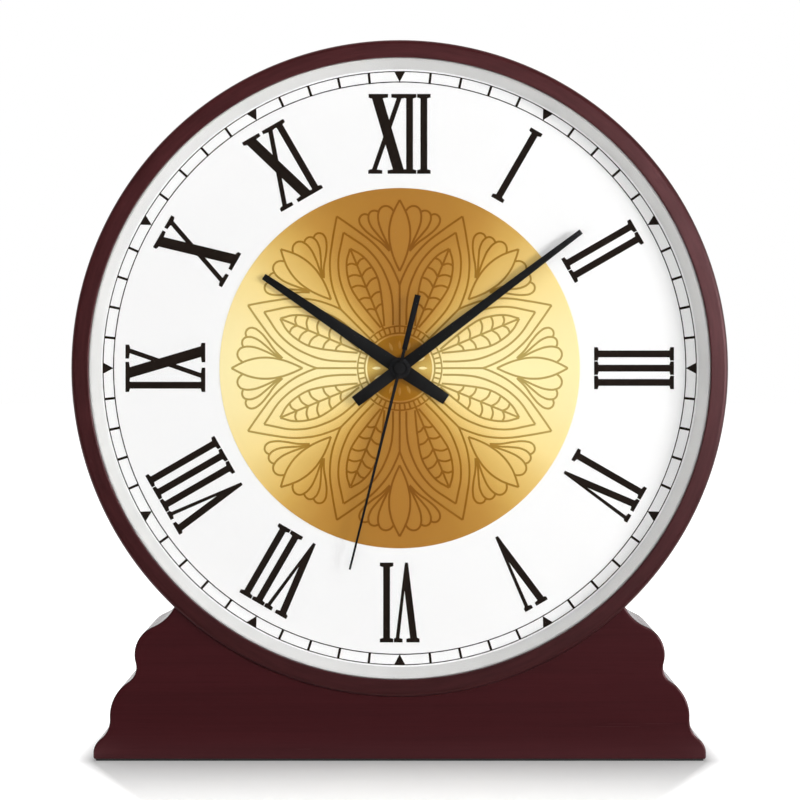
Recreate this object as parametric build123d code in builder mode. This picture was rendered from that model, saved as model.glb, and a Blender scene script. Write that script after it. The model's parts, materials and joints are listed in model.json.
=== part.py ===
from build123d import *
from math import copysign, cos, hypot, pi, radians, sin
import os

os.makedirs("parts", exist_ok=True)

# Table clock: a wooden ring with a round dial stands in a scalloped wooden base.
# +X is right seen from the front, the front faces -Y, +Z is up, and Z = 0 is the table.
# Depths are counted in millimetres behind the front of the ring.

# Wooden ring
ring_outer_radius = 150.0
ring_depth = 50.0
ring_wall = 5.0
lip_width = 8.1
lip_depth = 3.0
ring_front_round = 2.2
ring_back_round = 1.5
lip_inner_round = 0.6

# Wooden base. Each scallop is an arc up its side: where it ends, as shares of the way in and of the
# way up from the foot to where the base meets the ring, and its bulge as a share of its chord
base_side_margin = 9.8
base_depth = 52.0
base_set_back = 3.0
base_under_ring = 29.6
base_edge_round = 1.0
base_corner_round = 1.0
felt_thickness = 0.8
felt_inset = 1.0
foot_height = 4.1
base_scallops = [
    (0.079, 0.085, 0.101),
    (0.202, 0.228, -0.13),
    (0.424, 0.479, 0.132),
    (0.52, 0.612, -0.17),
    (0.735, 0.861, 0.19),
    (1.0, 1.0, -0.091),
]
base_wing_angle = 43.4

# Dial stack
fit_gap = 0.2
glass_thickness = 2.0
glass_edge_chamfer = 0.3
rehaut_depth = 9.0
rehaut_front_edge = 0.4
band_width = 3.8
dial_thickness = 1.0
board_thickness = 5.0
print_thickness = 0.1
medallion_thickness = 0.3

# Minute track, numerals and medallion on the dial
track_margin = 0.75
track_width = 5.3
track_line = 0.46
minute_mark_width = 1.15
hour_mark_width = 5.2
numeral_gap = 5.3
numeral_height = 36.9
medallion_gap = 6.6

# Roman numerals: the thick and thin strokes, and the serifs that end them
serif_height = 1.65
serif_slope = 0.45
i_stem = 3.15
i_serif = 6.25
i_half_step = 3.3
v_thick = 3.27
v_thin = 1.75
v_thick_top = -3.36
v_thin_top = 4.55
v_apex = 0.2
v_apex_width = 1.4
v_crotch = 13.0
v_crotch_side = 1.1
v_thick_serif = 6.1
v_thin_serif = 4.0
v_serif_shift = 0.55
v_half_width = 5.85
v_half_step = 6.08
x_thick = 5.05
x_thin = 2.28
x_thick_top = -5.12
x_thick_bottom = 5.76
x_thin_top = 6.23
x_thin_bottom = -6.57
x_thick_serif = 9.0
x_thin_serif = 6.5
x_serif_shift = 1.05
x_half_width = 8.5
x_half_step = 7.07

# Hands, as they stand in the rest position, in degrees clockwise from twelve
hour_angle = 304.0
minute_angle = 53.0
second_angle = 193.95
hour_hand_height = 2.5
hour_hand_thickness = 0.6
hour_length = 75.6
hour_tail = 25.8
hour_width = 6.8
hour_tip_width = 2.95
hour_tail_width = 5.3
hour_boss_radius = 4.95
minute_hand_gap = 1.5
minute_hand_thickness = 0.5
minute_length = 104.5
minute_tail = 25.6
minute_width = 5.4
minute_tip_width = 2.45
minute_boss_radius = 4.8
second_hand_gap = 1.25
second_hand_thickness = 0.35
second_length = 95.2
second_width = 1.5
second_tip_width = 0.95
counterweight_start = 8.75
counterweight_end = 34.7
counterweight_width = 2.4
counterweight_end_width = 2.8
second_cap_radius = 2.65
second_cap_height = 0.7
second_cap_round = 0.35
collet_wall = 1.0
collet_gap = 0.3

# Rear cover, its blocks and its screws
block_width_angle = 9.0
block_radial = 14.0
block_first_angle = 45.0
cover_front_depth = 44.0
cover_thickness = 3.0
finger_gap = 6.0
window_corner = 6.0
cover_screw_radius = 1.5
cover_screw_head_radius = 3.2
cover_screw_length = 16.0
base_screw_angle = 20.0
base_screw_radius = 1.75
base_screw_head_radius = 3.5
base_screw_head_height = 2.0
base_screw_bite = 22.0
screw_slack = 0.1
screw_slot_width = 0.8

# Movement case
gasket_thickness = 1.0
gasket_radius = 12.0
case_depth = 16.0
case_wall = 1.2
case_corner = 3.0
front_shell_depth = 10.0
cell_radius = 7.1
cell_length = 50.5
cell_tip_radius = 2.75
cell_tip_length = 1.3
cell_end_round = 0.6
cell_gap = 0.2
cell_end_space = 2.75
contact_thickness = 0.4
contact_width = 6.0
contact_strip_width = 3.6
contact_gap = 0.05
contact_slack = 0.1
negative_riser_inset = 4.4

# Bushing, nut and washer that clamp the movement to the dial board
bushing_radius = 4.0
bushing_stand_out = 0.4
nut_across_flats = 11.0
nut_thickness = 2.0
washer_radius = 7.0
washer_thickness = 0.8
board_pocket_radius = 8.0
hole_gap = 0.1

# Wheels: pinion and wheel teeth, modules, layers and the directions in which the axes stand
running_gap = 0.05
end_play = 0.2
pivot_radius = 0.4
arbor_radius = 0.6
second_arbor_radius = 0.5
minute_pipe_radius = 1.4
hour_pipe_radius = 2.2
wheel_thickness = 0.8
pinion_thickness = 1.0
tooth_tip = 0.85
tooth_root = 1.15
tooth_share = 0.40
tooth_tip_share = 0.18
tooth_foot_spread = 1.25
tooth_sink = 0.1
cannon_teeth = 12
motion_wheel_teeth = 36
cannon_module = 0.3
motion_pinion_teeth = 10
hour_wheel_teeth = 40
setting_teeth = 12
third_pinion_teeth = 8
centre_wheel_teeth = 60
second_pinion_teeth = 8
third_wheel_teeth = 64
second_pinion_module = 0.25
fifth_pinion_teeth = 10
second_wheel_teeth = 40
fifth_pinion_module = 0.3
rotor_pinion_teeth = 8
fifth_wheel_teeth = 60
rotor_module = 0.2
rotor_arbor_radius = 0.5
spoke_holes = 5
motion_direction = -20.0
setting_direction = -15.0
third_direction = 150.0
fifth_direction = 60.0
rotor_direction = 60.0
post_radius = 0.8
hour_layer = 1.5
motion_layer = 2.9
centre_layer = 4.2
plate_layer = 5.5
plate_thickness = 1.0
third_layer = 7.0
second_layer = 8.4
fifth_layer = 10.2

# Train bearings
pivot_depth = 0.8
plate_post_radius = 1.5
plate_post_inset = 5.0
plate_margin = 0.2

# Stepping motor and circuit
magnet_radius = 2.6
magnet_layer = 11.8
magnet_height = 2.0
stator_layer = 12.2
sheet_thickness = 1.0
stator_hole_radius = 3.1
stator_pole_radius = 4.8
stator_half_length = 12.0
stator_bar_height = 5.0
stator_leg_width = 4.0
coil_wall_gap = 4.2
core_height = 3.0
bobbin_barrel_radius = 1.9
bobbin_flange_radius = 2.7
bobbin_flange = 0.6
bobbin_clearance = 0.15
winding_radius = 2.5
pillar_radius = 1.1
pillar_inset = 2.1
board_edge_gap = 1.2
circuit_width = 17.0
circuit_height = 11.0
circuit_layer = 11.2
crystal_radius = 1.05
crystal_length = 6.0
crystal_round = 0.35
chip_radius = 2.4
chip_height = 0.9
chip_round = 0.7

# Setting knob
knob_radius = 6.0
knob_height = 5.0
knob_gap = 0.3
knob_floor = 1.2
knob_flutes = 24
knob_flute_radius = 0.5
shaft_radius = 0.9

# Places that follow from the sizes above
overall_depth = max(ring_depth, base_set_back + base_depth)
dial_height = ring_outer_radius + base_under_ring
base_half_width = ring_outer_radius - base_side_margin
ring_bore_radius = ring_outer_radius - ring_wall
opening_radius = ring_outer_radius - lip_width
disc_radius = ring_bore_radius - fit_gap
sight_radius = opening_radius - band_width
rehaut_front = lip_depth + glass_thickness
dial_front = rehaut_front + rehaut_depth
board_front = dial_front + dial_thickness
board_back = board_front + board_thickness
nut_back = board_front + nut_thickness
pocket_back = nut_back + washer_thickness
bushing_front = dial_front - bushing_stand_out
case_front = board_back + gasket_thickness
case_back = case_front + case_depth
case_size = cell_length + 2 * cell_end_space
track_outer_radius = sight_radius - track_margin
track_inner_radius = track_outer_radius - track_width
numeral_radius = track_inner_radius - numeral_gap - numeral_height / 2
medallion_radius = numeral_radius - numeral_height / 2 - medallion_gap
hour_hand_back = dial_front - hour_hand_height
hour_hand_front = hour_hand_back - hour_hand_thickness
minute_hand_back = hour_hand_front - minute_hand_gap
minute_hand_front = minute_hand_back - minute_hand_thickness
second_hand_back = minute_hand_front - second_hand_gap
second_hand_front = second_hand_back - second_hand_thickness


def facing(depth, x=0.0, z=0.0):
    """Plane that faces the front at a depth behind the ring's front, x and z from the dial's centre."""
    return Plane(origin=(x, depth - overall_depth / 2, dial_height + z), x_dir=(1, 0, 0), z_dir=(0, -1, 0))


def polar(radius, angle):
    """Point at a radius and an angle counted anticlockwise from +X, seen from the front."""
    return (radius * cos(radians(angle)), radius * sin(radians(angle)))


def along(start, distance, angle):
    """Point that lies at a distance and an angle from a start point."""
    dx, dz = polar(distance, angle)
    return (start[0] + dx, start[1] + dz)


def centre_distance(teeth, other_teeth, module):
    """Distance between the axes of two wheels in mesh."""
    return (teeth + other_teeth) * module / 2


def meshing_angle(teeth, tooth_angle, other_teeth, direction):
    """Angle of a tooth of the other wheel that puts its gaps where this wheel's teeth reach."""
    lead = ((direction - tooth_angle) % (360 / teeth)) / (360 / teeth)
    return direction + 180 - (0.5 - lead) * 360 / other_teeth


def toothed_outline(teeth, module, tooth_angle):
    """Outline of a wheel in the open sketch, with one tooth centred on tooth_angle."""
    pitch_radius = teeth * module / 2
    root_radius = pitch_radius - tooth_root * module
    tip_radius = pitch_radius + tooth_tip * module
    half_pitch = tooth_share * pi * module / 2
    half_foot = half_pitch * tooth_foot_spread
    half_tip = tooth_tip_share * pi * module / 2
    foot_radius = root_radius - tooth_sink
    flank = [(foot_radius, half_foot), (pitch_radius, half_pitch), (tip_radius, half_tip)]
    Circle(root_radius)
    with PolarLocations(0, teeth, start_angle=tooth_angle):
        Polygon(*[(r, -w) for r, w in flank], *[(r, w) for r, w in reversed(flank)])


def rod(radius, front, back, x=0.0, z=0.0, mode=Mode.ADD):
    """Round rod from a front depth to a back depth, in the open part."""
    with BuildSketch(facing(back, x, z)) as section:
        Circle(radius)
    extrude(section.sketch, amount=back - front, mode=mode)


def wheel_disc(teeth, module, tooth_angle, layer, thickness, x=0.0, z=0.0):
    """Toothed disc in the open part, at a layer behind the movement's front."""
    with BuildSketch(facing(case_front + layer + thickness, x, z)) as section:
        toothed_outline(teeth, module, tooth_angle)
    extrude(section.sketch, amount=thickness)


def base_screw_plane(side):
    """Plane in the dial's centre whose normal points down along a base screw, on the left or the right."""
    lean = radians(base_screw_angle)
    origin = facing((board_back + cover_front_depth) / 2).origin
    return Plane(origin=origin, x_dir=(0, 1, 0), z_dir=(side * sin(lean), 0, -cos(lean)))


# Wooden ring, with a lip in front that the glass rests against
with BuildPart() as frame_ring:
    with BuildSketch(facing(ring_depth)):
        Circle(ring_outer_radius)
        Circle(opening_radius, mode=Mode.SUBTRACT)
    extrude(amount=ring_depth)
    rod(ring_bore_radius, lip_depth, ring_depth, mode=Mode.SUBTRACT)
    front_edges = frame_ring.edges().group_by(Axis.Y)[0]
    fillet(front_edges.sort_by(SortBy.LENGTH)[-1], ring_front_round)
    front_edges = frame_ring.edges().group_by(Axis.Y)[0]
    fillet(front_edges.sort_by(SortBy.LENGTH)[0], lip_inner_round)
    back_edges = frame_ring.edges().group_by(Axis.Y)[-1]
    fillet(back_edges.sort_by(SortBy.LENGTH)[-1], ring_back_round)
    for side in (-1, 1):
        with BuildSketch(base_screw_plane(side)):
            Circle(base_screw_radius + screw_slack)
        extrude(amount=ring_outer_radius + ring_wall, mode=Mode.SUBTRACT)
        with BuildSketch(base_screw_plane(side)):
            Circle(base_screw_head_radius + screw_slack)
        extrude(amount=ring_bore_radius + base_screw_head_height, mode=Mode.SUBTRACT)
frame_ring.part.label = "frame_ring"
export_step(frame_ring.part, "parts/frame_ring.step")

# Scalloped base, cut out on top for the ring
wing_tip = (
    ring_outer_radius * sin(radians(base_wing_angle)),
    dial_height - ring_outer_radius * cos(radians(base_wing_angle)),
)
scallops_in = base_half_width - wing_tip[0]
scallops_up = wing_tip[1] - foot_height
base_back = base_set_back + base_depth
with BuildPart() as base_block:
    with BuildSketch(facing(base_back, z=-dial_height)):
        with BuildLine():
            start = (base_half_width, foot_height)
            Line((0, felt_thickness), (base_half_width, felt_thickness))
            Line((base_half_width, felt_thickness), start)
            for inward, upward, bulge in base_scallops:
                end = (base_half_width - inward * scallops_in, foot_height + upward * scallops_up)
                SagittaArc(start, end, -bulge * hypot(end[0] - start[0], end[1] - start[1]))
                start = end
            Line(start, (0, start[1]))
            mirror(about=Plane.YZ)
        make_face()
        with Locations((0, dial_height)):
            Circle(ring_outer_radius, mode=Mode.SUBTRACT)
    extrude(amount=base_depth)
    bottom_corners = base_block.edges().filter_by(Axis.Y).group_by(Axis.Z)[0]
    fillet(bottom_corners, base_corner_round)
    outline_edges = base_block.faces().filter_by(Axis.Y).edges()
    scallop_edges = outline_edges.filter_by(
        lambda edge: edge.geom_type != GeomType.CIRCLE or edge.radius < ring_bore_radius
    )
    fillet(scallop_edges, base_edge_round)
    for side in (-1, 1):
        with BuildSketch(base_screw_plane(side)):
            Circle(base_screw_radius)
        extrude(amount=ring_bore_radius + base_screw_head_height + base_screw_bite, mode=Mode.SUBTRACT)
base_block.part.label = "base_block"
export_step(base_block.part, "parts/base_block.step")

# Felt sheet under the base
with BuildPart() as base_felt:
    with BuildSketch(Plane.XY.offset(0)):
        with Locations((0, base_set_back + base_depth / 2 - overall_depth / 2)):
            RectangleRounded(2 * (base_half_width - felt_inset), base_depth - 2 * felt_inset, felt_inset)
    extrude(amount=felt_thickness)
base_felt.part.label = "base_felt"
export_step(base_felt.part, "parts/base_felt.step")

# Screws from inside the ring down into the base
with BuildPart() as base_screws:
    for side in (-1, 1):
        with BuildSketch(base_screw_plane(side).offset(ring_bore_radius)):
            Circle(base_screw_head_radius)
        extrude(amount=base_screw_head_height)
        with BuildSketch(base_screw_plane(side).offset(ring_bore_radius)):
            Circle(base_screw_radius)
        extrude(amount=base_screw_head_height + base_screw_bite)
        with BuildSketch(base_screw_plane(side).offset(ring_bore_radius)):
            Rectangle(base_screw_head_radius, screw_slot_width)
            Rectangle(screw_slot_width, base_screw_head_radius)
        extrude(amount=base_screw_head_height / 2, mode=Mode.SUBTRACT)
base_screws.part.label = "base_screws"
export_step(base_screws.part, "parts/base_screws.step")

# Glass, held between the lip and the rehaut
with BuildPart() as glass_lens:
    rod(disc_radius, lip_depth, rehaut_front)
    chamfer(glass_lens.edges(), glass_edge_chamfer)
glass_lens.part.label = "glass_lens"
export_step(glass_lens.part, "parts/glass_lens.step")

# Rehaut, the white ring that slopes down from the glass to the dial
with BuildPart() as rehaut_ring:
    rod(disc_radius, rehaut_front, dial_front)
    with BuildSketch(facing(dial_front)):
        Circle(sight_radius)
    with BuildSketch(facing(rehaut_front)):
        Circle(opening_radius - rehaut_front_edge)
    loft(mode=Mode.SUBTRACT)
rehaut_ring.part.label = "rehaut_ring"
export_step(rehaut_ring.part, "parts/rehaut_ring.step")

# Dial plate with a hole for the bushing
with BuildPart() as dial_plate:
    rod(disc_radius, dial_front, board_front)
    rod(bushing_radius + hole_gap, dial_front, board_front, mode=Mode.SUBTRACT)
dial_plate.part.label = "dial_plate"
export_step(dial_plate.part, "parts/dial_plate.step")

# Gilt medallion in the middle of the dial
with BuildPart() as medallion:
    rod(medallion_radius, dial_front - medallion_thickness, dial_front)
    rod(bushing_radius + hole_gap, dial_front - medallion_thickness, dial_front, mode=Mode.SUBTRACT)
medallion.part.label = "medallion"
export_step(medallion.part, "parts/medallion.step")

# Minute track: two thin circles, a bar at each minute and a wedge at each hour
with BuildPart() as minute_track:
    with BuildSketch(facing(dial_front)):
        for line_radius in (track_outer_radius, track_inner_radius + track_line):
            with BuildSketch(mode=Mode.ADD):
                Circle(line_radius)
                Circle(line_radius - track_line, mode=Mode.SUBTRACT)
        mark_middle = (track_outer_radius + track_inner_radius) / 2
        for minute in range(60):
            if minute % 5:
                with PolarLocations(mark_middle, 1, start_angle=90 - 6 * minute):
                    Rectangle(track_width - track_line, minute_mark_width)
            else:
                with PolarLocations(0, 1, start_angle=90 - 6 * minute):
                    Polygon(
                        (track_outer_radius - track_line / 2, -hour_mark_width / 2),
                        (track_outer_radius - track_line / 2, hour_mark_width / 2),
                        (track_inner_radius + track_line / 2, 0),
                    )
    extrude(amount=print_thickness)
minute_track.part.label = "minute_track"
export_step(minute_track.part, "parts/minute_track.step")


def serif(x, top, width, stroke, shift=0.0):
    """Slab serif at the top or the bottom end of a stroke, moved towards the letter's middle by a shift."""
    end = top * numeral_height / 2
    slab = end - top * serif_height
    foot = slab - top * serif_slope
    middle = x - copysign(shift, x)
    left = [(middle - width / 2, end), (middle - width / 2, slab), (x - stroke / 2, foot)]
    right = [(x + stroke / 2, foot), (middle + width / 2, slab), (middle + width / 2, end)]
    Polygon(*left, *right)


def letter_i():
    """Letter I of a Roman numeral."""
    Rectangle(i_stem, numeral_height)
    serif(0, 1, i_serif, i_stem)
    serif(0, -1, i_serif, i_stem)


def stroke(top_x, bottom_x, width):
    """Slanted stroke over the whole height of a numeral."""
    half = width / 2
    end = numeral_height / 2
    Polygon((top_x - half, end), (bottom_x - half, -end), (bottom_x + half, -end), (top_x + half, end))


def letter_v():
    """Letter V of a Roman numeral."""
    end = numeral_height / 2
    Polygon(
        (v_thick_top - v_thick / 2, end),
        (v_apex - v_apex_width / 2, -end),
        (v_apex + v_apex_width / 2, -end),
        (v_thin_top + v_thin / 2, end),
        (v_thin_top - v_thin / 2, end),
        (v_crotch_side, v_crotch - end),
        (v_thick_top + v_thick / 2, end),
    )
    serif(v_thick_top, 1, v_thick_serif, v_thick, v_serif_shift)
    serif(v_thin_top, 1, v_thin_serif, v_thin, v_serif_shift)


def letter_x():
    """Letter X of a Roman numeral."""
    stroke(x_thick_top, x_thick_bottom, x_thick)
    stroke(x_thin_top, x_thin_bottom, x_thin)
    serif(x_thick_top, 1, x_thick_serif, x_thick, x_serif_shift)
    serif(x_thick_bottom, -1, x_thick_serif, x_thick, x_serif_shift)
    serif(x_thin_top, 1, x_thin_serif, x_thin, x_serif_shift)
    serif(x_thin_bottom, -1, x_thin_serif, x_thin, x_serif_shift)


# Roman numerals, all with their tops outwards
letters = {
    "I": (letter_i, i_half_step, i_serif / 2),
    "V": (letter_v, v_half_step, v_half_width),
    "X": (letter_x, x_half_step, x_half_width),
}
numerals = ["XII", "I", "II", "III", "IV", "V", "VI", "VII", "VIII", "IX", "X", "XI"]
with BuildPart() as hour_numerals:
    with BuildSketch(facing(dial_front)):
        for hour, numeral in enumerate(numerals):
            middles = [0.0]
            for before, after in zip(numeral, numeral[1:]):
                middles.append(middles[-1] + letters[before][1] + letters[after][1])
            left = middles[0] - letters[numeral[0]][2]
            right = middles[-1] + letters[numeral[-1]][2]
            for letter, middle in zip(numeral, middles):
                sideways = middle - (left + right) / 2
                turn = -30 * hour
                spot = along(polar(numeral_radius, 90 + turn), sideways, turn)
                with Locations(Location(spot, turn)):
                    letters[letter][0]()
    extrude(amount=print_thickness)
hour_numerals.part.label = "hour_numerals"
export_step(hour_numerals.part, "parts/hour_numerals.step")

# Backing board, with a pocket in front for the washer and the nut
with BuildPart() as dial_board:
    rod(disc_radius, board_front, board_back)
    rod(board_pocket_radius, board_front, pocket_back, mode=Mode.SUBTRACT)
    rod(bushing_radius + hole_gap, board_front, board_back, mode=Mode.SUBTRACT)
dial_board.part.label = "dial_board"
export_step(dial_board.part, "parts/dial_board.step")

# Wooden blocks inside the ring, which hold the board in and take the cover's screws
screw_circle = ring_bore_radius - block_radial / 2
cover_back = cover_front_depth + cover_thickness
cover_screw_end = cover_back - cover_screw_length
screw_hole_end = cover_screw_end - cover_thickness
screw_spots = [polar(screw_circle, block_first_angle + 90 * corner) for corner in range(4)]
with BuildPart() as cover_blocks:
    with BuildSketch(facing(cover_front_depth)):
        Circle(ring_bore_radius)
        Circle(ring_bore_radius - block_radial, mode=Mode.SUBTRACT)
        with BuildSketch(mode=Mode.INTERSECT):
            with PolarLocations(screw_circle, 4, start_angle=block_first_angle):
                Rectangle(2 * block_radial, 2 * screw_circle * sin(radians(block_width_angle / 2)))
    extrude(amount=cover_front_depth - board_back)
    for x, z in screw_spots:
        rod(cover_screw_radius, screw_hole_end, cover_front_depth, x, z, Mode.SUBTRACT)
cover_blocks.part.label = "cover_blocks"
export_step(cover_blocks.part, "parts/cover_blocks.step")

# Rear cover with a window for the cell and the setting knob
window_size = case_size + 2 * finger_gap
with BuildPart() as rear_cover:
    with BuildSketch(facing(cover_back)):
        Circle(disc_radius)
        RectangleRounded(window_size, window_size, window_corner, mode=Mode.SUBTRACT)
    extrude(amount=cover_thickness)
    for x, z in screw_spots:
        with Locations(Plane(origin=facing(cover_back, x, z).origin, z_dir=(0, 1, 0))):
            CounterSinkHole(cover_screw_radius + screw_slack, cover_screw_head_radius)
rear_cover.part.label = "rear_cover"
export_step(rear_cover.part, "parts/rear_cover.step")

# Countersunk screws of the rear cover, with a cross slot
head_depth = cover_screw_head_radius - cover_screw_radius
with BuildPart() as cover_screws:
    for x, z in screw_spots:
        rod(cover_screw_radius, cover_screw_end, cover_back, x, z)
        with BuildSketch(facing(cover_back, x, z)):
            Circle(cover_screw_head_radius - screw_slack)
        extrude(amount=head_depth, taper=45)
        with BuildSketch(facing(cover_back, x, z)):
            Rectangle(cover_screw_head_radius, screw_slot_width)
            Rectangle(screw_slot_width, cover_screw_head_radius)
        extrude(amount=head_depth / 2, mode=Mode.SUBTRACT)
cover_screws.part.label = "cover_screws"
export_step(cover_screws.part, "parts/cover_screws.step")


def tapered_bar(start, start_half_width, end, end_half_width):
    """Bar of a hand from one distance to another along the open sketch's +Y, in the open sketch."""
    Polygon(
        (-start_half_width, start),
        (start_half_width, start),
        (end_half_width, end),
        (-end_half_width, end),
    )


def hand_plane(depth, clock_angle):
    """Plane at a depth whose +Y points along a hand that stands at an angle clockwise from twelve."""
    lean = radians(clock_angle)
    return Plane(origin=facing(depth).origin, x_dir=(cos(lean), 0, -sin(lean)), z_dir=(0, -1, 0))


# Hour hand and the collet that grips the hour pipe
with BuildPart() as hour_hand:
    with BuildSketch(hand_plane(hour_hand_back, hour_angle)):
        Circle(hour_boss_radius)
        tapered_bar(0, hour_width / 2, hour_length, hour_tip_width / 2)
        tapered_bar(0, hour_width / 2, -hour_tail, hour_tail_width / 2)
        Circle(hour_pipe_radius, mode=Mode.SUBTRACT)
    extrude(amount=hour_hand_thickness)
hour_hand.part.label = "hour_hand"
export_step(hour_hand.part, "parts/hour_hand.step")

hour_collet_back = bushing_front - collet_gap
with BuildPart() as hour_collet:
    rod(hour_pipe_radius + collet_wall, hour_hand_back, hour_collet_back)
    rod(hour_pipe_radius, hour_hand_back, hour_collet_back, mode=Mode.SUBTRACT)
hour_collet.part.label = "hour_collet"
export_step(hour_collet.part, "parts/hour_collet.step")

# Minute hand and its collet
with BuildPart() as minute_hand:
    with BuildSketch(hand_plane(minute_hand_back, minute_angle)):
        Circle(minute_boss_radius)
        tapered_bar(0, minute_width / 2, minute_length, minute_tip_width / 2)
        tapered_bar(0, minute_width / 2, -minute_tail, minute_width / 2)
        Circle(minute_pipe_radius, mode=Mode.SUBTRACT)
    extrude(amount=minute_hand_thickness)
minute_hand.part.label = "minute_hand"
export_step(minute_hand.part, "parts/minute_hand.step")

with BuildPart() as minute_collet:
    rod(minute_pipe_radius + collet_wall, minute_hand_back, hour_hand_front - collet_gap)
    rod(minute_pipe_radius, minute_hand_back, hour_hand_front - collet_gap, mode=Mode.SUBTRACT)
minute_collet.part.label = "minute_collet"
export_step(minute_collet.part, "parts/minute_collet.step")

# Second hand with its counterweight, its collet and its cap
with BuildPart() as second_hand:
    with BuildSketch(hand_plane(second_hand_back, second_angle)):
        Circle(second_cap_radius)
        tapered_bar(0, second_width / 2, second_length, second_tip_width / 2)
        tapered_bar(0, second_width / 2, -counterweight_end, second_width / 2)
        tapered_bar(
            -counterweight_start,
            counterweight_width / 2,
            -counterweight_end,
            counterweight_end_width / 2,
        )
        Circle(second_arbor_radius, mode=Mode.SUBTRACT)
    extrude(amount=second_hand_thickness)
second_hand.part.label = "second_hand"
export_step(second_hand.part, "parts/second_hand.step")

with BuildPart() as second_collet:
    rod(second_arbor_radius + collet_wall, second_hand_back, minute_hand_front - collet_gap)
    rod(second_arbor_radius, second_hand_back, minute_hand_front - collet_gap, mode=Mode.SUBTRACT)
second_collet.part.label = "second_collet"
export_step(second_collet.part, "parts/second_collet.step")

second_cap_front = second_hand_front - second_cap_height
with BuildPart() as second_cap:
    rod(second_cap_radius, second_cap_front, second_hand_front)
    fillet(second_cap.edges().group_by(Axis.Y)[0], second_cap_round)
second_cap.part.label = "second_cap"
export_step(second_cap.part, "parts/second_cap.step")

# Axes of the train, seen from the front with the dial's centre as origin
centre_axis = (0.0, 0.0)
motion_spacing = centre_distance(cannon_teeth, motion_wheel_teeth, cannon_module)
motion_axis = polar(motion_spacing, motion_direction)
motion_pinion_module = 2 * motion_spacing / (motion_pinion_teeth + hour_wheel_teeth)
setting_spacing = centre_distance(motion_wheel_teeth, setting_teeth, cannon_module)
setting_axis = along(motion_axis, setting_spacing, setting_direction)
third_spacing = centre_distance(second_pinion_teeth, third_wheel_teeth, second_pinion_module)
third_axis = polar(third_spacing, third_direction)
centre_wheel_module = 2 * third_spacing / (third_pinion_teeth + centre_wheel_teeth)
fifth_spacing = centre_distance(second_wheel_teeth, fifth_pinion_teeth, fifth_pinion_module)
fifth_axis = polar(fifth_spacing, fifth_direction)
rotor_spacing = centre_distance(fifth_wheel_teeth, rotor_pinion_teeth, rotor_module)
rotor_axis = along(fifth_axis, rotor_spacing, rotor_direction)

# Inner faces of the case, which is as wide as the cell needs, and the bay for the cell under the wheels
inner_half = case_size / 2 - case_wall
bay_top = 2 * (cell_radius + cell_gap) - inner_half
divider_top = bay_top + case_wall
inner_front = case_front + case_wall
inner_back = case_back - case_wall
shell_split = case_front + front_shell_depth
cell_height = cell_radius + cell_gap - inner_half
cell_depth = inner_front + cell_gap + cell_radius
cell_left = contact_thickness + contact_gap - inner_half
strip_front = cell_depth
strip_back = strip_front + contact_strip_width
plate_front = case_front + plate_layer
plate_back = plate_front + plate_thickness
board_right = contact_thickness - inner_half + circuit_width
board_top = inner_half - board_edge_gap
board_bottom = board_top - circuit_height
circuit_front = case_front + circuit_layer
circuit_back = circuit_front + sheet_thickness
stator_front = case_front + stator_layer
stator_back = stator_front + sheet_thickness
coil_axis = (rotor_axis[0], inner_half - coil_wall_gap)
coil_height = coil_axis[1] - rotor_axis[1]
core_front = stator_front - sheet_thickness


def block(left, right, low, high, front, back, mode=Mode.ADD):
    """Rectangular block between two depths in the open part, sides from the dial's centre."""
    middle = facing(back, (left + right) / 2, (low + high) / 2)
    with BuildSketch(middle) as section:
        Rectangle(right - left, high - low)
    extrude(section.sketch, amount=back - front, mode=mode)


# Front shell of the movement case, with the cell bay, the post of the motion wheel and the plate's posts
post_spots = [
    (side * (inner_half - plate_post_inset), height)
    for side in (-1, 1)
    for height in (divider_top + plate_post_inset, inner_half - plate_post_inset)
]
with BuildPart() as movement_case:
    with BuildSketch(facing(case_back)):
        RectangleRounded(case_size, case_size, case_corner)
    extrude(amount=case_depth)
    block(-inner_half, inner_half, divider_top, inner_half, inner_front, case_back, Mode.SUBTRACT)
    block(-inner_half, inner_half, -inner_half, bay_top, inner_front, case_back, Mode.SUBTRACT)
    block(-case_size, case_size, divider_top, case_size, shell_split, case_back, Mode.SUBTRACT)
    rod(bushing_radius, case_front, inner_front, mode=Mode.SUBTRACT)
    for x, z in (third_axis, setting_axis):
        rod(pivot_radius + running_gap, inner_front - pivot_depth, inner_front, x, z, Mode.SUBTRACT)
    rod(post_radius, inner_front, case_front + motion_layer + pinion_thickness, *motion_axis)
    for x, z in post_spots:
        rod(plate_post_radius, inner_front, plate_front, x, z)
    slot = contact_thickness + contact_slack
    for side in (-1, 1):
        outer = side * inner_half
        inner = side * (inner_half - slot)
        block(min(outer, inner), max(outer, inner), bay_top, divider_top, strip_front - contact_slack,
              strip_back + contact_slack, Mode.SUBTRACT)
movement_case.part.label = "movement_case"
export_step(movement_case.part, "parts/movement_case.step")

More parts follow.
